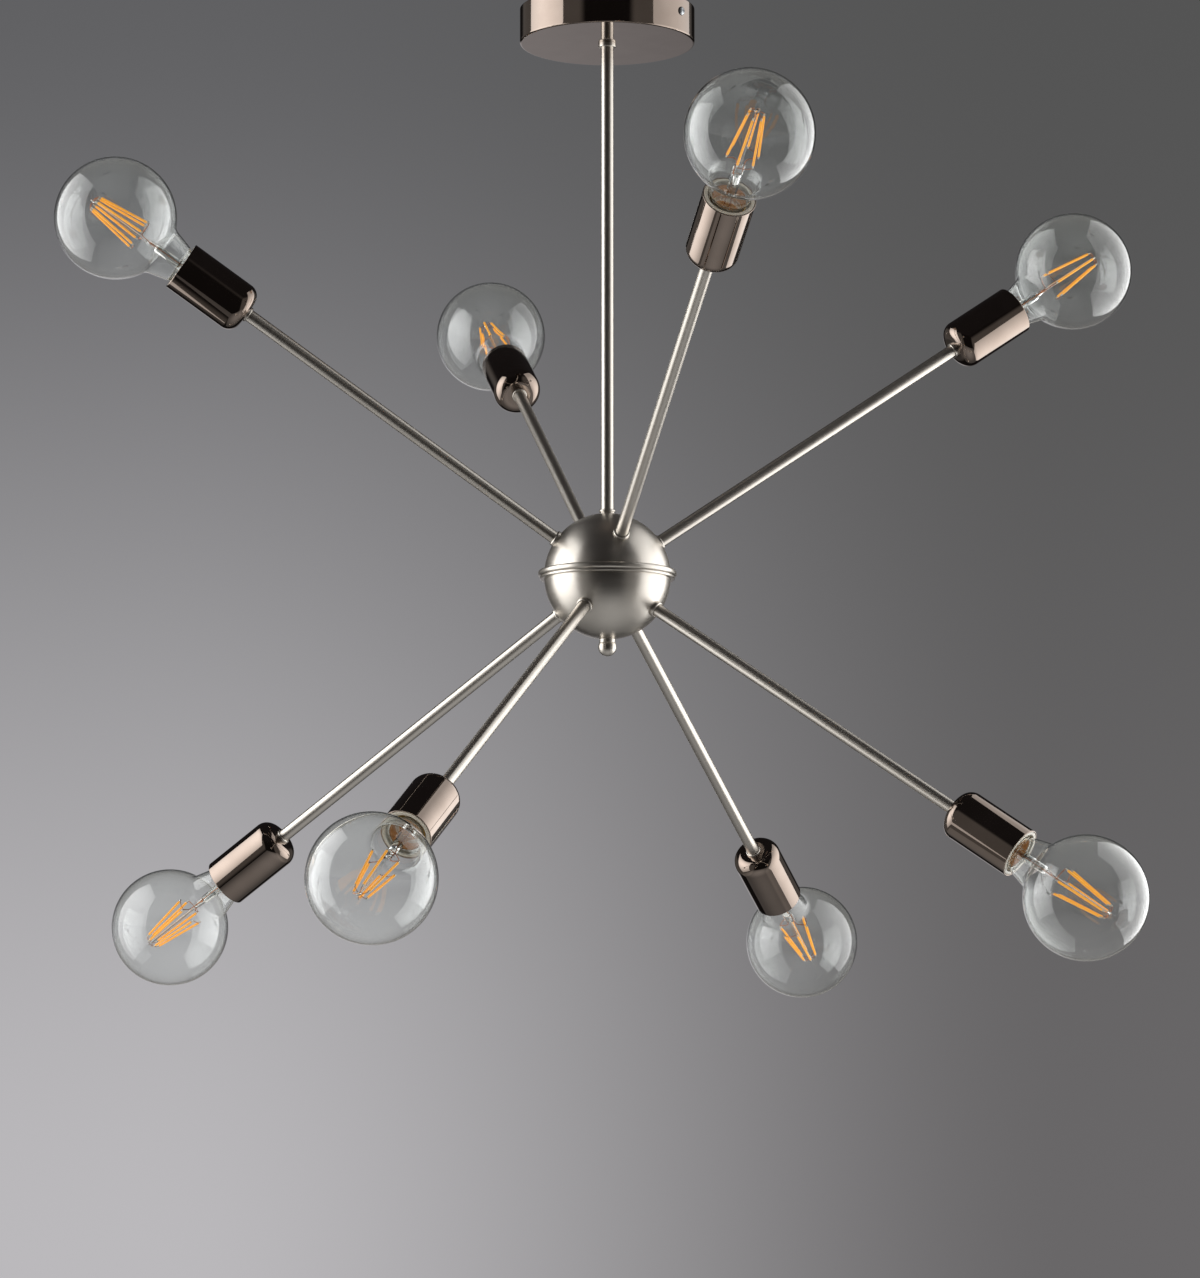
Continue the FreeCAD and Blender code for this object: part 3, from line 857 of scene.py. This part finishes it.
finial_bore, finial_collar, finial_gap = 3.08, 6.25, 0.1
knob_centre, knob_radius, knob_start = -56.25, 7.25, 40
bore_end = -59.6
collar_top = -math.sqrt((ball_radius + finial_gap) ** 2 - finial_collar**2)
bore_top = -math.sqrt((ball_radius + finial_gap) ** 2 - finial_bore**2)
neck_radius, neck_rise = ball_point(knob_radius, knob_start)
finial_shape = as_mesh(
    turned(
        (finial_bore, bore_top),
        (finial_collar, collar_top, 0.2),
        (finial_collar, -53.2, 0.7),
        (5.0, -54.2, 0.6),
        (4.2, -54.6, 0.3),
        (neck_radius, knob_centre + neck_rise),
        ((0, knob_centre), 180 - knob_start),
        (0, bore_end),
        (finial_bore, bore_end),
        (finial_bore, bore_top),
        sides=64,
    )
)
add_piece("finial_knob", finial_shape, [ball], satin_nickel, "finial", "satin_nickel", "finial")

# ---- Arms ------------------------------------------------
# Eight straight steel tubes in the stem's satin nickel. Each is held by a nut inside the
# ball and screwed into its lampholder.

HALVES = (("upper", upper_lines, "hanging_frame"), ("lower", lower_lines, "lower_hub"))


def each_arm():
    """Half, number, place and body of each of the eight arms."""
    for half, lines, body in HALVES:
        for k, line in enumerate(lines, start=1):
            yield half, k, along_arm(*line), body


arm_foot = 42.63
arm_end = 359
arm_shape = as_mesh(
    turned(
        (tube_bore, arm_foot),
        (tube_radius, arm_foot, 0.3),
        (tube_radius, arm_end, 0.3),
        (tube_bore, arm_end),
        (tube_bore, arm_foot),
        sides=48,
    )
)
for half, k, place, body in each_arm():
    add_piece(
        f"{half}_arm_tube_{k}",
        arm_shape,
        [place],
        satin_nickel,
        body,
        "satin_nickel",
        f"{half}_arm_{k}",
    )

# ---- Arm collars -----------------------------------------
# A rounded ferrule where each arm enters the ball, and a flat ring behind each cup, both
# turned from brass and plated satin nickel.

ferrule = turned(
    (5.3, 49.8),
    (6.5, 49.58, 0.15),
    (6.5, 52.5, 1.1),
    (5.3, 52.5, 0.3),
    (ring_bore, 51.6),
    (ring_bore, 49.8),
    (5.3, 49.8),
    sides=64,
)
cup_foot = 350
cup_ring = turned(
    (ring_bore, 348),
    (6.25, 348, 0.6),
    (6.25, cup_foot),
    (ring_bore, cup_foot),
    (ring_bore, 348),
    sides=64,
)
collar_shape = as_mesh(ferrule, cup_ring)
for half, lines, body in HALVES:
    places = [along_arm(*line) for line in lines]
    add_piece(
        f"{half}_ferrules",
        collar_shape,
        places,
        satin_nickel,
        body,
        "satin_nickel",
        f"{half}_arm_collars",
    )

# ---- Cups ------------------------------------------------
# Deep-drawn steel cups, polished and plated in the canopy's black nickel. Each is clamped
# between its ring and its lampholder.

cup_radius = 20
cup_mouth = 413
cup_shape = as_mesh(
    turned(
        (tube_hole, cup_foot + sheet),
        (cup_radius - sheet, cup_foot + sheet, 9),
        (cup_radius - sheet, cup_mouth, 0.45),
        (cup_radius, cup_mouth, 0.45),
        (cup_radius, cup_foot, 10),
        (tube_hole, cup_foot),
        (tube_hole, cup_foot + sheet),
        sides=128,
    )
)
for half, k, place, body in each_arm():
    add_piece(
        f"{half}_drawn_cup_{k}",
        cup_shape,
        [place],
        black_nickel,
        body,
        "black_nickel",
        f"{half}_cup_{k}",
    )

# ---- Lampholders -----------------------------------------
# Glazed off-white porcelain bodies whose rims show in the cups' mouths. The glaze is even
# and glossy over a warm, very faintly speckled body.

specks_per_mm = 0.9
glaze = blank_material("off_white_glazed_porcelain")
tree = glaze.node_tree
place = add_node(tree, "ShaderNodeTexCoord", {}).outputs["Object"]
specks = add_node(
    tree, "ShaderNodeTexNoise", {"Vector": place, "Scale": specks_per_mm / MM, "Detail": 2}
)
body_tone = add_node(
    tree,
    "ShaderNodeValToRGB",
    {"Fac": specks.outputs["Fac"]},
    stops=[(0.3, "#DDD5C4"), (0.6, "#E9E3D5")],
)
china = add_node(
    tree,
    "ShaderNodeBsdfPrincipled",
    {
        "Base Color": body_tone.outputs["Color"],
        "Roughness": 0.35,
        "Coat Weight": 0.5,
        "Coat Roughness": 0.08,
    },
)
add_node(tree, "ShaderNodeOutputMaterial", {"Surface": china.outputs["BSDF"]})

holder_radius = 18.9
rim_bore = 16
socket_bore, socket_top, socket_floor = 13.73, 409, 382.5
holder_shape = as_mesh(
    turned(
        (ring_bore, cup_foot + sheet),
        (8, cup_foot + sheet),
        (8, 360),
        (holder_radius, 360, 0.5),
        (holder_radius, cup_mouth, 0.5),
        (rim_bore, cup_mouth, 0.7),
        (rim_bore, socket_top, 0.4),
        (socket_bore, socket_top),
        (socket_bore, socket_floor),
        (3, socket_floor),
        (3, 379.5),
        (15.6, 379.5),
        (15.6, 363),
        (3, 363),
        (3, arm_end),
        (ring_bore, arm_end),
        (ring_bore, cup_foot + sheet),
        sides=96,
    )
)
for half, lines, body in HALVES:
    places = [along_arm(*line) for line in lines]
    add_piece(
        f"{half}_lampholders",
        holder_shape,
        places,
        glaze,
        body,
        "lampholder_porcelain",
        f"{half}_holder_bodies",
    )

# ---- Screw shells and contacts ---------------------------
# Rolled brass thread and a pressed brass centre spring in each socket. The brass is plain:
# yellow, half glossy and dulled in patches.

thread_pitch = 3.63
thread_depth = 0.85


def roll_thread(bm, low, high):
    """Press a right-hand round thread into a turned shell between two heights."""
    fade = thread_pitch / 2
    for vert in bm.verts:
        x, y, height = vert.co
        share = min(1, (height - low) / fade, (high - height) / fade)
        if share > 0:
            phase = math.tau * height / thread_pitch - math.atan2(y, x)
            radius = math.hypot(x, y)
            pressed = thread_depth * share * (0.5 - 0.5 * math.cos(phase))
            vert.co.x *= 1 - pressed / radius
            vert.co.y *= 1 - pressed / radius


def fine_run(radius, start, end, step=0.4):
    """Corners close together along a straight wall that is going to be threaded."""
    count = math.ceil(abs(end - start) / step)
    return [(radius, start + (end - start) * k / count) for k in range(count + 1)]


blotches_per_mm = 0.15
brass = blank_material("plain_brass")
tree = brass.node_tree
place = add_node(tree, "ShaderNodeTexCoord", {}).outputs["Object"]
tarnish = add_node(
    tree, "ShaderNodeTexNoise", {"Vector": place, "Scale": blotches_per_mm / MM, "Detail": 4}
)
yellow = add_node(
    tree,
    "ShaderNodeValToRGB",
    {"Fac": tarnish.outputs["Fac"]},
    stops=[(0.35, "#B98F4E"), (0.7, "#D9B46C")],
)
gloss = add_node(
    tree,
    "ShaderNodeMapRange",
    {"Value": tarnish.outputs["Fac"], "To Min": 0.35, "To Max": 0.2},
)
metal = add_node(
    tree,
    "ShaderNodeBsdfPrincipled",
    {
        "Base Color": yellow.outputs["Color"],
        "Metallic": 1,
        "Roughness": gloss.outputs["Result"],
    },
)
add_node(tree, "ShaderNodeOutputMaterial", {"Surface": metal.outputs["BSDF"]})

shell_inside, shell_outside, shell_foot = 13.28, 13.68, 383.5
screw_shell = turned(
    *fine_run(shell_inside, shell_foot, socket_top),
    *fine_run(shell_outside, socket_top, shell_foot),
    (shell_inside, shell_foot),
    sides=64,
)
roll_thread(screw_shell, 385, 405)
spring = turned(
    (0, socket_floor),
    (5, socket_floor),
    (5, 383.2, 0.2),
    (2.5, 383.4, 0.5),
    (2.5, 385.2, 0.6),
    (0, 385.2),
    sides=32,
)
socket_shape = as_mesh(screw_shell, spring)
for half, lines, body in HALVES:
    places = [along_arm(*line) for line in lines]
    add_piece(
        f"{half}_screw_shells",
        socket_shape,
        places,
        brass,
        body,
        "socket_brass",
        f"{half}_holder_contacts",
    )

# ---- Bulb glass ------------------------------------------
# Blown soda-lime globe on a short neck, 0.8 mm thick. It is clear, and only where the eye
# looks along the wall does the faint green of the glass show.

clear_glass = blank_material("clear_soda_lime_glass")
tree = clear_glass.node_tree
glass = add_node(
    tree,
    "ShaderNodeBsdfPrincipled",
    {
        "Base Color": linear("#FCFEFD"),
        "Roughness": 0.0,
        "IOR": 1.5,
        "Transmission Weight": 1,
        "Sheen Weight": 0.12,
        "Sheen Roughness": 0.15,
        "Sheen Tint": linear("#E6F2EA"),
    },
)
add_node(tree, "ShaderNodeOutputMaterial", {"Surface": glass.outputs["BSDF"]})

globe_centre, globe_radius, globe_arc = 475.3, 47.5, 151.785
fillet_centre, fillet_arc = (25.294, 428.157), -46.53
waist_radius, glass_end = 12.1, 403.3
envelope_shape = as_mesh(
    turned(
        (0, globe_centre + globe_radius),
        ((0, globe_centre), globe_arc),
        (fillet_centre, fillet_arc),
        (15.5, 415.05, 4),
        (12.75, 412.3, 3),
        (waist_radius, 408, 2),
        (waist_radius, glass_end),
        sides=128,
        wall=0.8,
    )
)

# ---- Glass mount -----------------------------------------
# Flared tube inside the neck, pressed flat at its top round the lead wires, with a thin
# exhaust tube in it and a rod with a button above it that carries the filaments.

stalk_bore, stalk_radius, bore_end = 3.4, 4.2, 437.5
rod_radius, button_centre, button_arc = 1, 497.2, -148.3
stalk = turned(
    (0, bore_end),
    (stalk_bore, bore_end, 2.5),
    (stalk_bore, 414, 5),
    (4.6, 408.6, 5),
    (10.4, 403.5, 1),
    (12, glass_end),
    (10.9, 404.4, 1.2),
    (5.2, 409.2, 5),
    (stalk_radius, 415, 5),
    (stalk_radius, 445.3, 1.2),
    (rod_radius, 445.8, 0.3),
    (rod_radius, 495.584),
    ((0, button_centre), button_arc),
    sides=48,
)
pinch_foot, pinch_rise, pinch_widens, pinch_flattens = 437.6, 6, 0.13, 0.62
for vert in stalk.verts:
    x, y, height = vert.co
    if math.hypot(x, y) >= 1.2 * rod_radius:
        squeeze = min(1, max(0, (height - pinch_foot) / pinch_rise))
        ease = squeeze * squeeze * (3 - 2 * squeeze)
        vert.co.x *= 1 + pinch_widens * ease
        vert.co.y *= 1 - pinch_flattens * ease
exhaust_bore, exhaust_radius, exhaust_foot, exhaust_top = 1.2, 1.75, 395, 436.5
exhaust = turned(
    (exhaust_bore, exhaust_foot),
    (exhaust_radius, exhaust_foot, 0.2),
    (exhaust_radius, exhaust_top),
    (exhaust_bore, exhaust_top),
    (exhaust_bore, exhaust_foot),
    sides=32,
)
mount_shape = as_mesh(stalk, exhaust)

for half, k, place, _ in each_arm():
    for name, shape in (("globe", envelope_shape), ("glass_mount", mount_shape)):
        add_piece(
            f"{half}_{name}_{k}",
            shape,
            [place],
            clear_glass,
            f"{half}_bulb_{k}",
            "clear_glass",
            f"{half}_bulb_glass_{k}",
        )

# ---- Screw caps ------------------------------------------
# Nickel-plated brass shell rolled to the socket's thread, with a black glass insulator and a
# tinned tip at its foot, the tan basing cement that holds it to the neck, and the pale
# moulded ring of the driver that shows under the flare.

# Bright, slightly yellow silver, glossier where it is rubbed.
rubs_per_mm = 0.12
plated = blank_material("nickel_plated_brass")
tree = plated.node_tree
place = add_node(tree, "ShaderNodeTexCoord", {}).outputs["Object"]
rubbed = add_node(
    tree, "ShaderNodeTexNoise", {"Vector": place, "Scale": rubs_per_mm / MM, "Detail": 3}
)
silver = add_node(
    tree,
    "ShaderNodeValToRGB",
    {"Fac": rubbed.outputs["Fac"]},
    stops=[(0.35, "#BDB7AB"), (0.65, "#D4CFC5")],
)
gloss = add_node(
    tree,
    "ShaderNodeMapRange",
    {"Value": rubbed.outputs["Fac"], "To Min": 0.3, "To Max": 0.16},
)
metal = add_node(
    tree,
    "ShaderNodeBsdfPrincipled",
    {
        "Base Color": silver.outputs["Color"],
        "Metallic": 1,
        "Roughness": gloss.outputs["Result"],
    },
)
add_node(tree, "ShaderNodeOutputMaterial", {"Surface": metal.outputs["BSDF"]})

# Baked cement: matt tan and gritty, with a painted glow that stands in for the light
# that the neck gathers.
grit_per_mm = 0.7
cement = blank_material("basing_cement_painted_glow")
tree = cement.node_tree
place = add_node(tree, "ShaderNodeTexCoord", {}).outputs["Object"]
grit = add_node(
    tree, "ShaderNodeTexNoise", {"Vector": place, "Scale": grit_per_mm / MM, "Detail": 3}
)
tan = add_node(
    tree,
    "ShaderNodeValToRGB",
    {"Fac": grit.outputs["Fac"]},
    stops=[(0.3, "#8E5F34"), (0.7, "#B98450")],
)
rough = add_node(
    tree,
    "ShaderNodeBump",
    {"Height": grit.outputs["Fac"], "Strength": 0.4, "Distance": 0.3 * MM},
)
filler = add_node(
    tree,
    "ShaderNodeBsdfPrincipled",
    {
        "Base Color": tan.outputs["Color"],
        "Roughness": 0.75,
        "Normal": rough.outputs["Normal"],
        # painted glow: the cement gives off light in its own tan
        "Emission Color": tan.outputs["Color"],
        "Emission Strength": 0.3,
    },
)
add_node(tree, "ShaderNodeOutputMaterial", {"Surface": filler.outputs["BSDF"]})

# Moulded black glass: near black and shiny.
swirls_per_mm = 0.3
black_glass = blank_material("black_glass")
tree = black_glass.node_tree
place = add_node(tree, "ShaderNodeTexCoord", {}).outputs["Object"]
flow = add_node(
    tree, "ShaderNodeTexNoise", {"Vector": place, "Scale": swirls_per_mm / MM, "Detail": 2}
)
ink = add_node(
    tree,
    "ShaderNodeValToRGB",
    {"Fac": flow.outputs["Fac"]},
    stops=[(0.3, "#0B0A0C"), (0.7, "#1A1719")],
)
vitrite = add_node(
    tree, "ShaderNodeBsdfPrincipled", {"Base Color": ink.outputs["Color"], "Roughness": 0.12}
)
add_node(tree, "ShaderNodeOutputMaterial", {"Surface": vitrite.outputs["BSDF"]})

cap_radius, cap_inside, cap_rim = 13.2, 12.8, 412.3
cap_hole, cap_foot, cap_floor = 9, 390.9, 391.3
cap_shell = turned(
    (cap_hole, cap_foot),
    (10.2, cap_foot, 0.6),
    (cap_radius, 393.9, 1.5),
    *fine_run(cap_radius, 394.2, 404.2),
    (cap_radius, 411.2, 1),
    (13.45, cap_rim),
    (13.05, cap_rim),
    (cap_inside, 411.2, 1),
    *fine_run(cap_inside, 404.2, 394.2),
    (cap_inside, 394.0, 1.2),
    (10.0, cap_floor, 0.6),
    (cap_hole, cap_floor),
    (cap_hole, cap_foot),
    sides=64,
)
roll_thread(cap_shell, 392.5, 403.8)
tip_foot, tip_top = 385.3, 386.9
tip = turned(
    (0, tip_foot),
    (4.1, tip_foot, 0.6),
    (4.8, 386.2, 0.4),
    (4.8, tip_top),
    (0, tip_top),
    sides=48,
)
cap_shape = as_mesh(cap_shell, tip)
insulator_foot, insulator_top = 386.95, 391.4
insulator_shape = as_mesh(
    turned(
        (0, insulator_foot),
        (5.2, insulator_foot, 0.3),
        (9.4, 390.8, 0.4),
        (8.95, 391),
        (8.95, insulator_top),
        (0, insulator_top),
        (0, insulator_foot),
        sides=64,
    )
)
cement_shape = as_mesh(
    turned(
        (2.4, 401),
        (11.7, 401),
        (12.15, 405),
        (12.7, 405),
        (12.7, 411.6, 0.3),
        (12.3, 411.8, 0.1),
        (12.15, 409),
        (11.9, 401.9),
        (9, 401.9),
        (2.4, 402.6, 0.5),
        (2.4, 401),
        sides=64,
    )
)
driver_inside, driver_outside, driver_foot, driver_top = 9, 11.7, 401.95, 403.1
ring_shape = as_mesh(
    turned(
        (driver_inside, driver_foot),
        (driver_outside, driver_foot),
        (driver_outside, driver_top, 0.3),
        (driver_inside, driver_top, 0.3),
        (driver_inside, driver_foot),
        sides=64,
    )
)
for half, k, place, _ in each_arm():
    for name, shape, finish, slot in (
        ("cap_shell", cap_shape, plated, "cap_metal"),
        ("cap_cement", cement_shape, cement, "cap_metal"),
        ("cap_insulator", insulator_shape, black_glass, "cap_metal"),
        ("driver_ring", ring_shape, polyamide, "terminal_plastic"),
    ):
        add_piece(
            f"{half}_{name}_{k}",
            shape,
            [place],
            finish,
            f"{half}_bulb_{k}",
            slot,
            f"{half}_bulb_cap_{k}",
        )

# ---- LED filaments ---------------------------------------
# Six glass sticks coated in amber phosphor, with bare pale ends, stand in a narrow cone round
# the rod. Copper-coloured wires join them in pairs at the foot and to the button at the top.

# Cast silicone full of phosphor: even amber with a soft gloss, and a painted glow that
# brightens the sticks, though the bulb is off.
grains_per_mm = 0.9
phosphor = blank_material("amber_phosphor_silicone_painted_glow")
tree = phosphor.node_tree
place = add_node(tree, "ShaderNodeTexCoord", {}).outputs["Object"]
grains = add_node(
    tree, "ShaderNodeTexNoise", {"Vector": place, "Scale": grains_per_mm / MM, "Detail": 3}
)
amber = add_node(
    tree,
    "ShaderNodeValToRGB",
    {"Fac": grains.outputs["Fac"]},
    stops=[(0.3, "#FCA834"), (0.7, "#FFB444")],
)
coating = add_node(
    tree,
    "ShaderNodeBsdfPrincipled",
    {
        "Base Color": amber.outputs["Color"],
        "Roughness": 0.45,
        # painted glow: the sticks give off amber light though the bulb is off
        "Emission Color": amber.outputs["Color"],
        "Emission Strength": 0.5,
    },
)
add_node(tree, "ShaderNodeOutputMaterial", {"Surface": coating.outputs["BSDF"]})

# Drawn wire: reddish and half dull, with spots of oxide.
dulled_per_mm = 0.4
copper = blank_material("copper_clad_wire")
tree = copper.node_tree
place = add_node(tree, "ShaderNodeTexCoord", {}).outputs["Object"]
oxide = add_node(
    tree, "ShaderNodeTexNoise", {"Vector": place, "Scale": dulled_per_mm / MM, "Detail": 2}
)
reddish = add_node(
    tree,
    "ShaderNodeValToRGB",
    {"Fac": oxide.outputs["Fac"]},
    stops=[(0.3, "#9C5A34"), (0.7, "#C98459")],
)
gloss = add_node(
    tree,
    "ShaderNodeMapRange",
    {"Value": oxide.outputs["Fac"], "To Min": 0.4, "To Max": 0.25},
)
metal = add_node(
    tree,
    "ShaderNodeBsdfPrincipled",
    {
        "Base Color": reddish.outputs["Color"],
        "Metallic": 1,
        "Roughness": gloss.outputs["Result"],
    },
)
add_node(tree, "ShaderNodeOutputMaterial", {"Surface": metal.outputs["BSDF"]})

# Tinned metal: pale and a little dull.
stick_ends = blank_material("tinned_stick_ends")
tree = stick_ends.node_tree
place = add_node(tree, "ShaderNodeTexCoord", {}).outputs["Object"]
dull = add_node(
    tree, "ShaderNodeTexNoise", {"Vector": place, "Scale": dulled_per_mm / MM, "Detail": 2}
)
pale = add_node(
    tree,
    "ShaderNodeValToRGB",
    {"Fac": dull.outputs["Fac"]},
    stops=[(0.3, "#C9C4B6"), (0.7, "#E6E2D6")],
)
metal = add_node(
    tree,
    "ShaderNodeBsdfPrincipled",
    {"Base Color": pale.outputs["Color"], "Metallic": 0.6, "Roughness": 0.4},
)
add_node(tree, "ShaderNodeOutputMaterial", {"Surface": metal.outputs["BSDF"]})

sticks = 6
spacing = 60  # degrees round the rod
foot_circle, foot_height = 12.1, 451.8
head_circle, head_height = 6, 495.3


def around_rod(radius, degrees, height):
    """Point at a distance and an angle from the bulb's axis."""
    turn = math.radians(degrees)
    return Vector((radius * math.cos(turn), radius * math.sin(turn), height))


def stick_point(index, share):
    """Point on a stick's line, from its foot (0) to its head (1)."""
    foot = around_rod(foot_circle, spacing * index, foot_height)
    head = around_rod(head_circle, spacing * index, head_height)
    return foot.lerp(head, share)


def rod_between(start, end, thickness, sides=12):
    """Round rod with slightly rounded ends between two points."""
    length = (end - start).length
    radius = thickness / 2
    rounding = 0.4 * radius
    rod = turned(
        (0, 0), (radius, 0, rounding), (radius, length, rounding), (0, length), sides=sides
    )
    aim = (end - start).to_track_quat("Z", "Y").to_matrix().to_4x4()
    bmesh.ops.transform(rod, matrix=Matrix.Translation(start) @ aim, verts=rod.verts)
    return rod


def bent_wire(points, thickness):
    """Mesh of a wire that runs smoothly through its points."""
    line = bpy.data.curves.new("wire", "CURVE")
    line.dimensions = "3D"
    line.bevel_depth = thickness / 2
    line.bevel_resolution = 2
    line.use_fill_caps = True
    run = line.splines.new("BEZIER")
    run.bezier_points.add(len(points) - 1)
    for knot, point in zip(run.bezier_points, points):
        knot.co = point
        knot.handle_left_type = knot.handle_right_type = "AUTO"
    run.resolution_u = 6
    holder = bpy.data.objects.new("wire", line)
    bpy.context.collection.objects.link(holder)
    seen = bpy.context.evaluated_depsgraph_get()
    mesh = bpy.data.meshes.new_from_object(holder.evaluated_get(seen))
    bpy.data.objects.remove(holder)
    wire = bmesh.new()
    wire.from_mesh(mesh)
    bmesh.ops.remove_doubles(wire, verts=wire.verts, dist=merge_gap)
    bmesh.ops.recalc_face_normals(wire, faces=wire.faces)
    return wire


coated, bare = 1.8, 1.2  # thickness of a stick's coating and of its ends
sticks_shape = as_mesh(
    *[
        rod_between(stick_point(i, 0.05), stick_point(i, 0.95), coated, sides=16)
        for i in range(sticks)
    ]
)
ends_shape = as_mesh(
    *[rod_between(stick_point(i, 0), stick_point(i, 0.06), bare) for i in range(sticks)],
    *[rod_between(stick_point(i, 0.94), stick_point(i, 1), bare) for i in range(sticks)],
)
pair_wire, head_wire, lead_wire = 0.5, 0.5, 0.6  # their thicknesses
arc_lift = 0.1
wires = []
for first in range(0, sticks, 2):
    turns = [spacing * (first + t / 4) for t in range(5)]
    arc = [around_rod(foot_circle, turn, foot_height + arc_lift) for turn in turns]
    wires.append(bent_wire(arc, pair_wire))
for i in range(sticks):
    steps = ((1.7, 497.0), (3.6, 496.6), (head_circle, 495.2))
    bend = [around_rod(radius, spacing * i, height) for radius, height in steps]
    wires.append(bent_wire(bend, head_wire))
for side in (-1, 1):
    lead = [
        (side * 2.2, 0, 396),
        (side * 2.4, 0, 420),
        (side * 2.9, 0, 436),
        (side * 3.1, 0, 446),
        (side * 4.2, 0, 450),
        (side * foot_circle, 0, foot_height),
    ]
    wires.append(bent_wire(lead, lead_wire))
wires_shape = as_mesh(*wires)
for half, k, place, _ in each_arm():
    for name, shape, finish in (
        ("led_sticks", sticks_shape, phosphor),
        ("stick_ends", ends_shape, stick_ends),
        ("filament_wires", wires_shape, copper),
    ):
        add_piece(
            f"{half}_{name}_{k}",
            shape,
            [place],
            finish,
            f"{half}_bulb_{k}",
            "led_phosphor",
            f"{half}_bulb_filaments_{k}",
        )
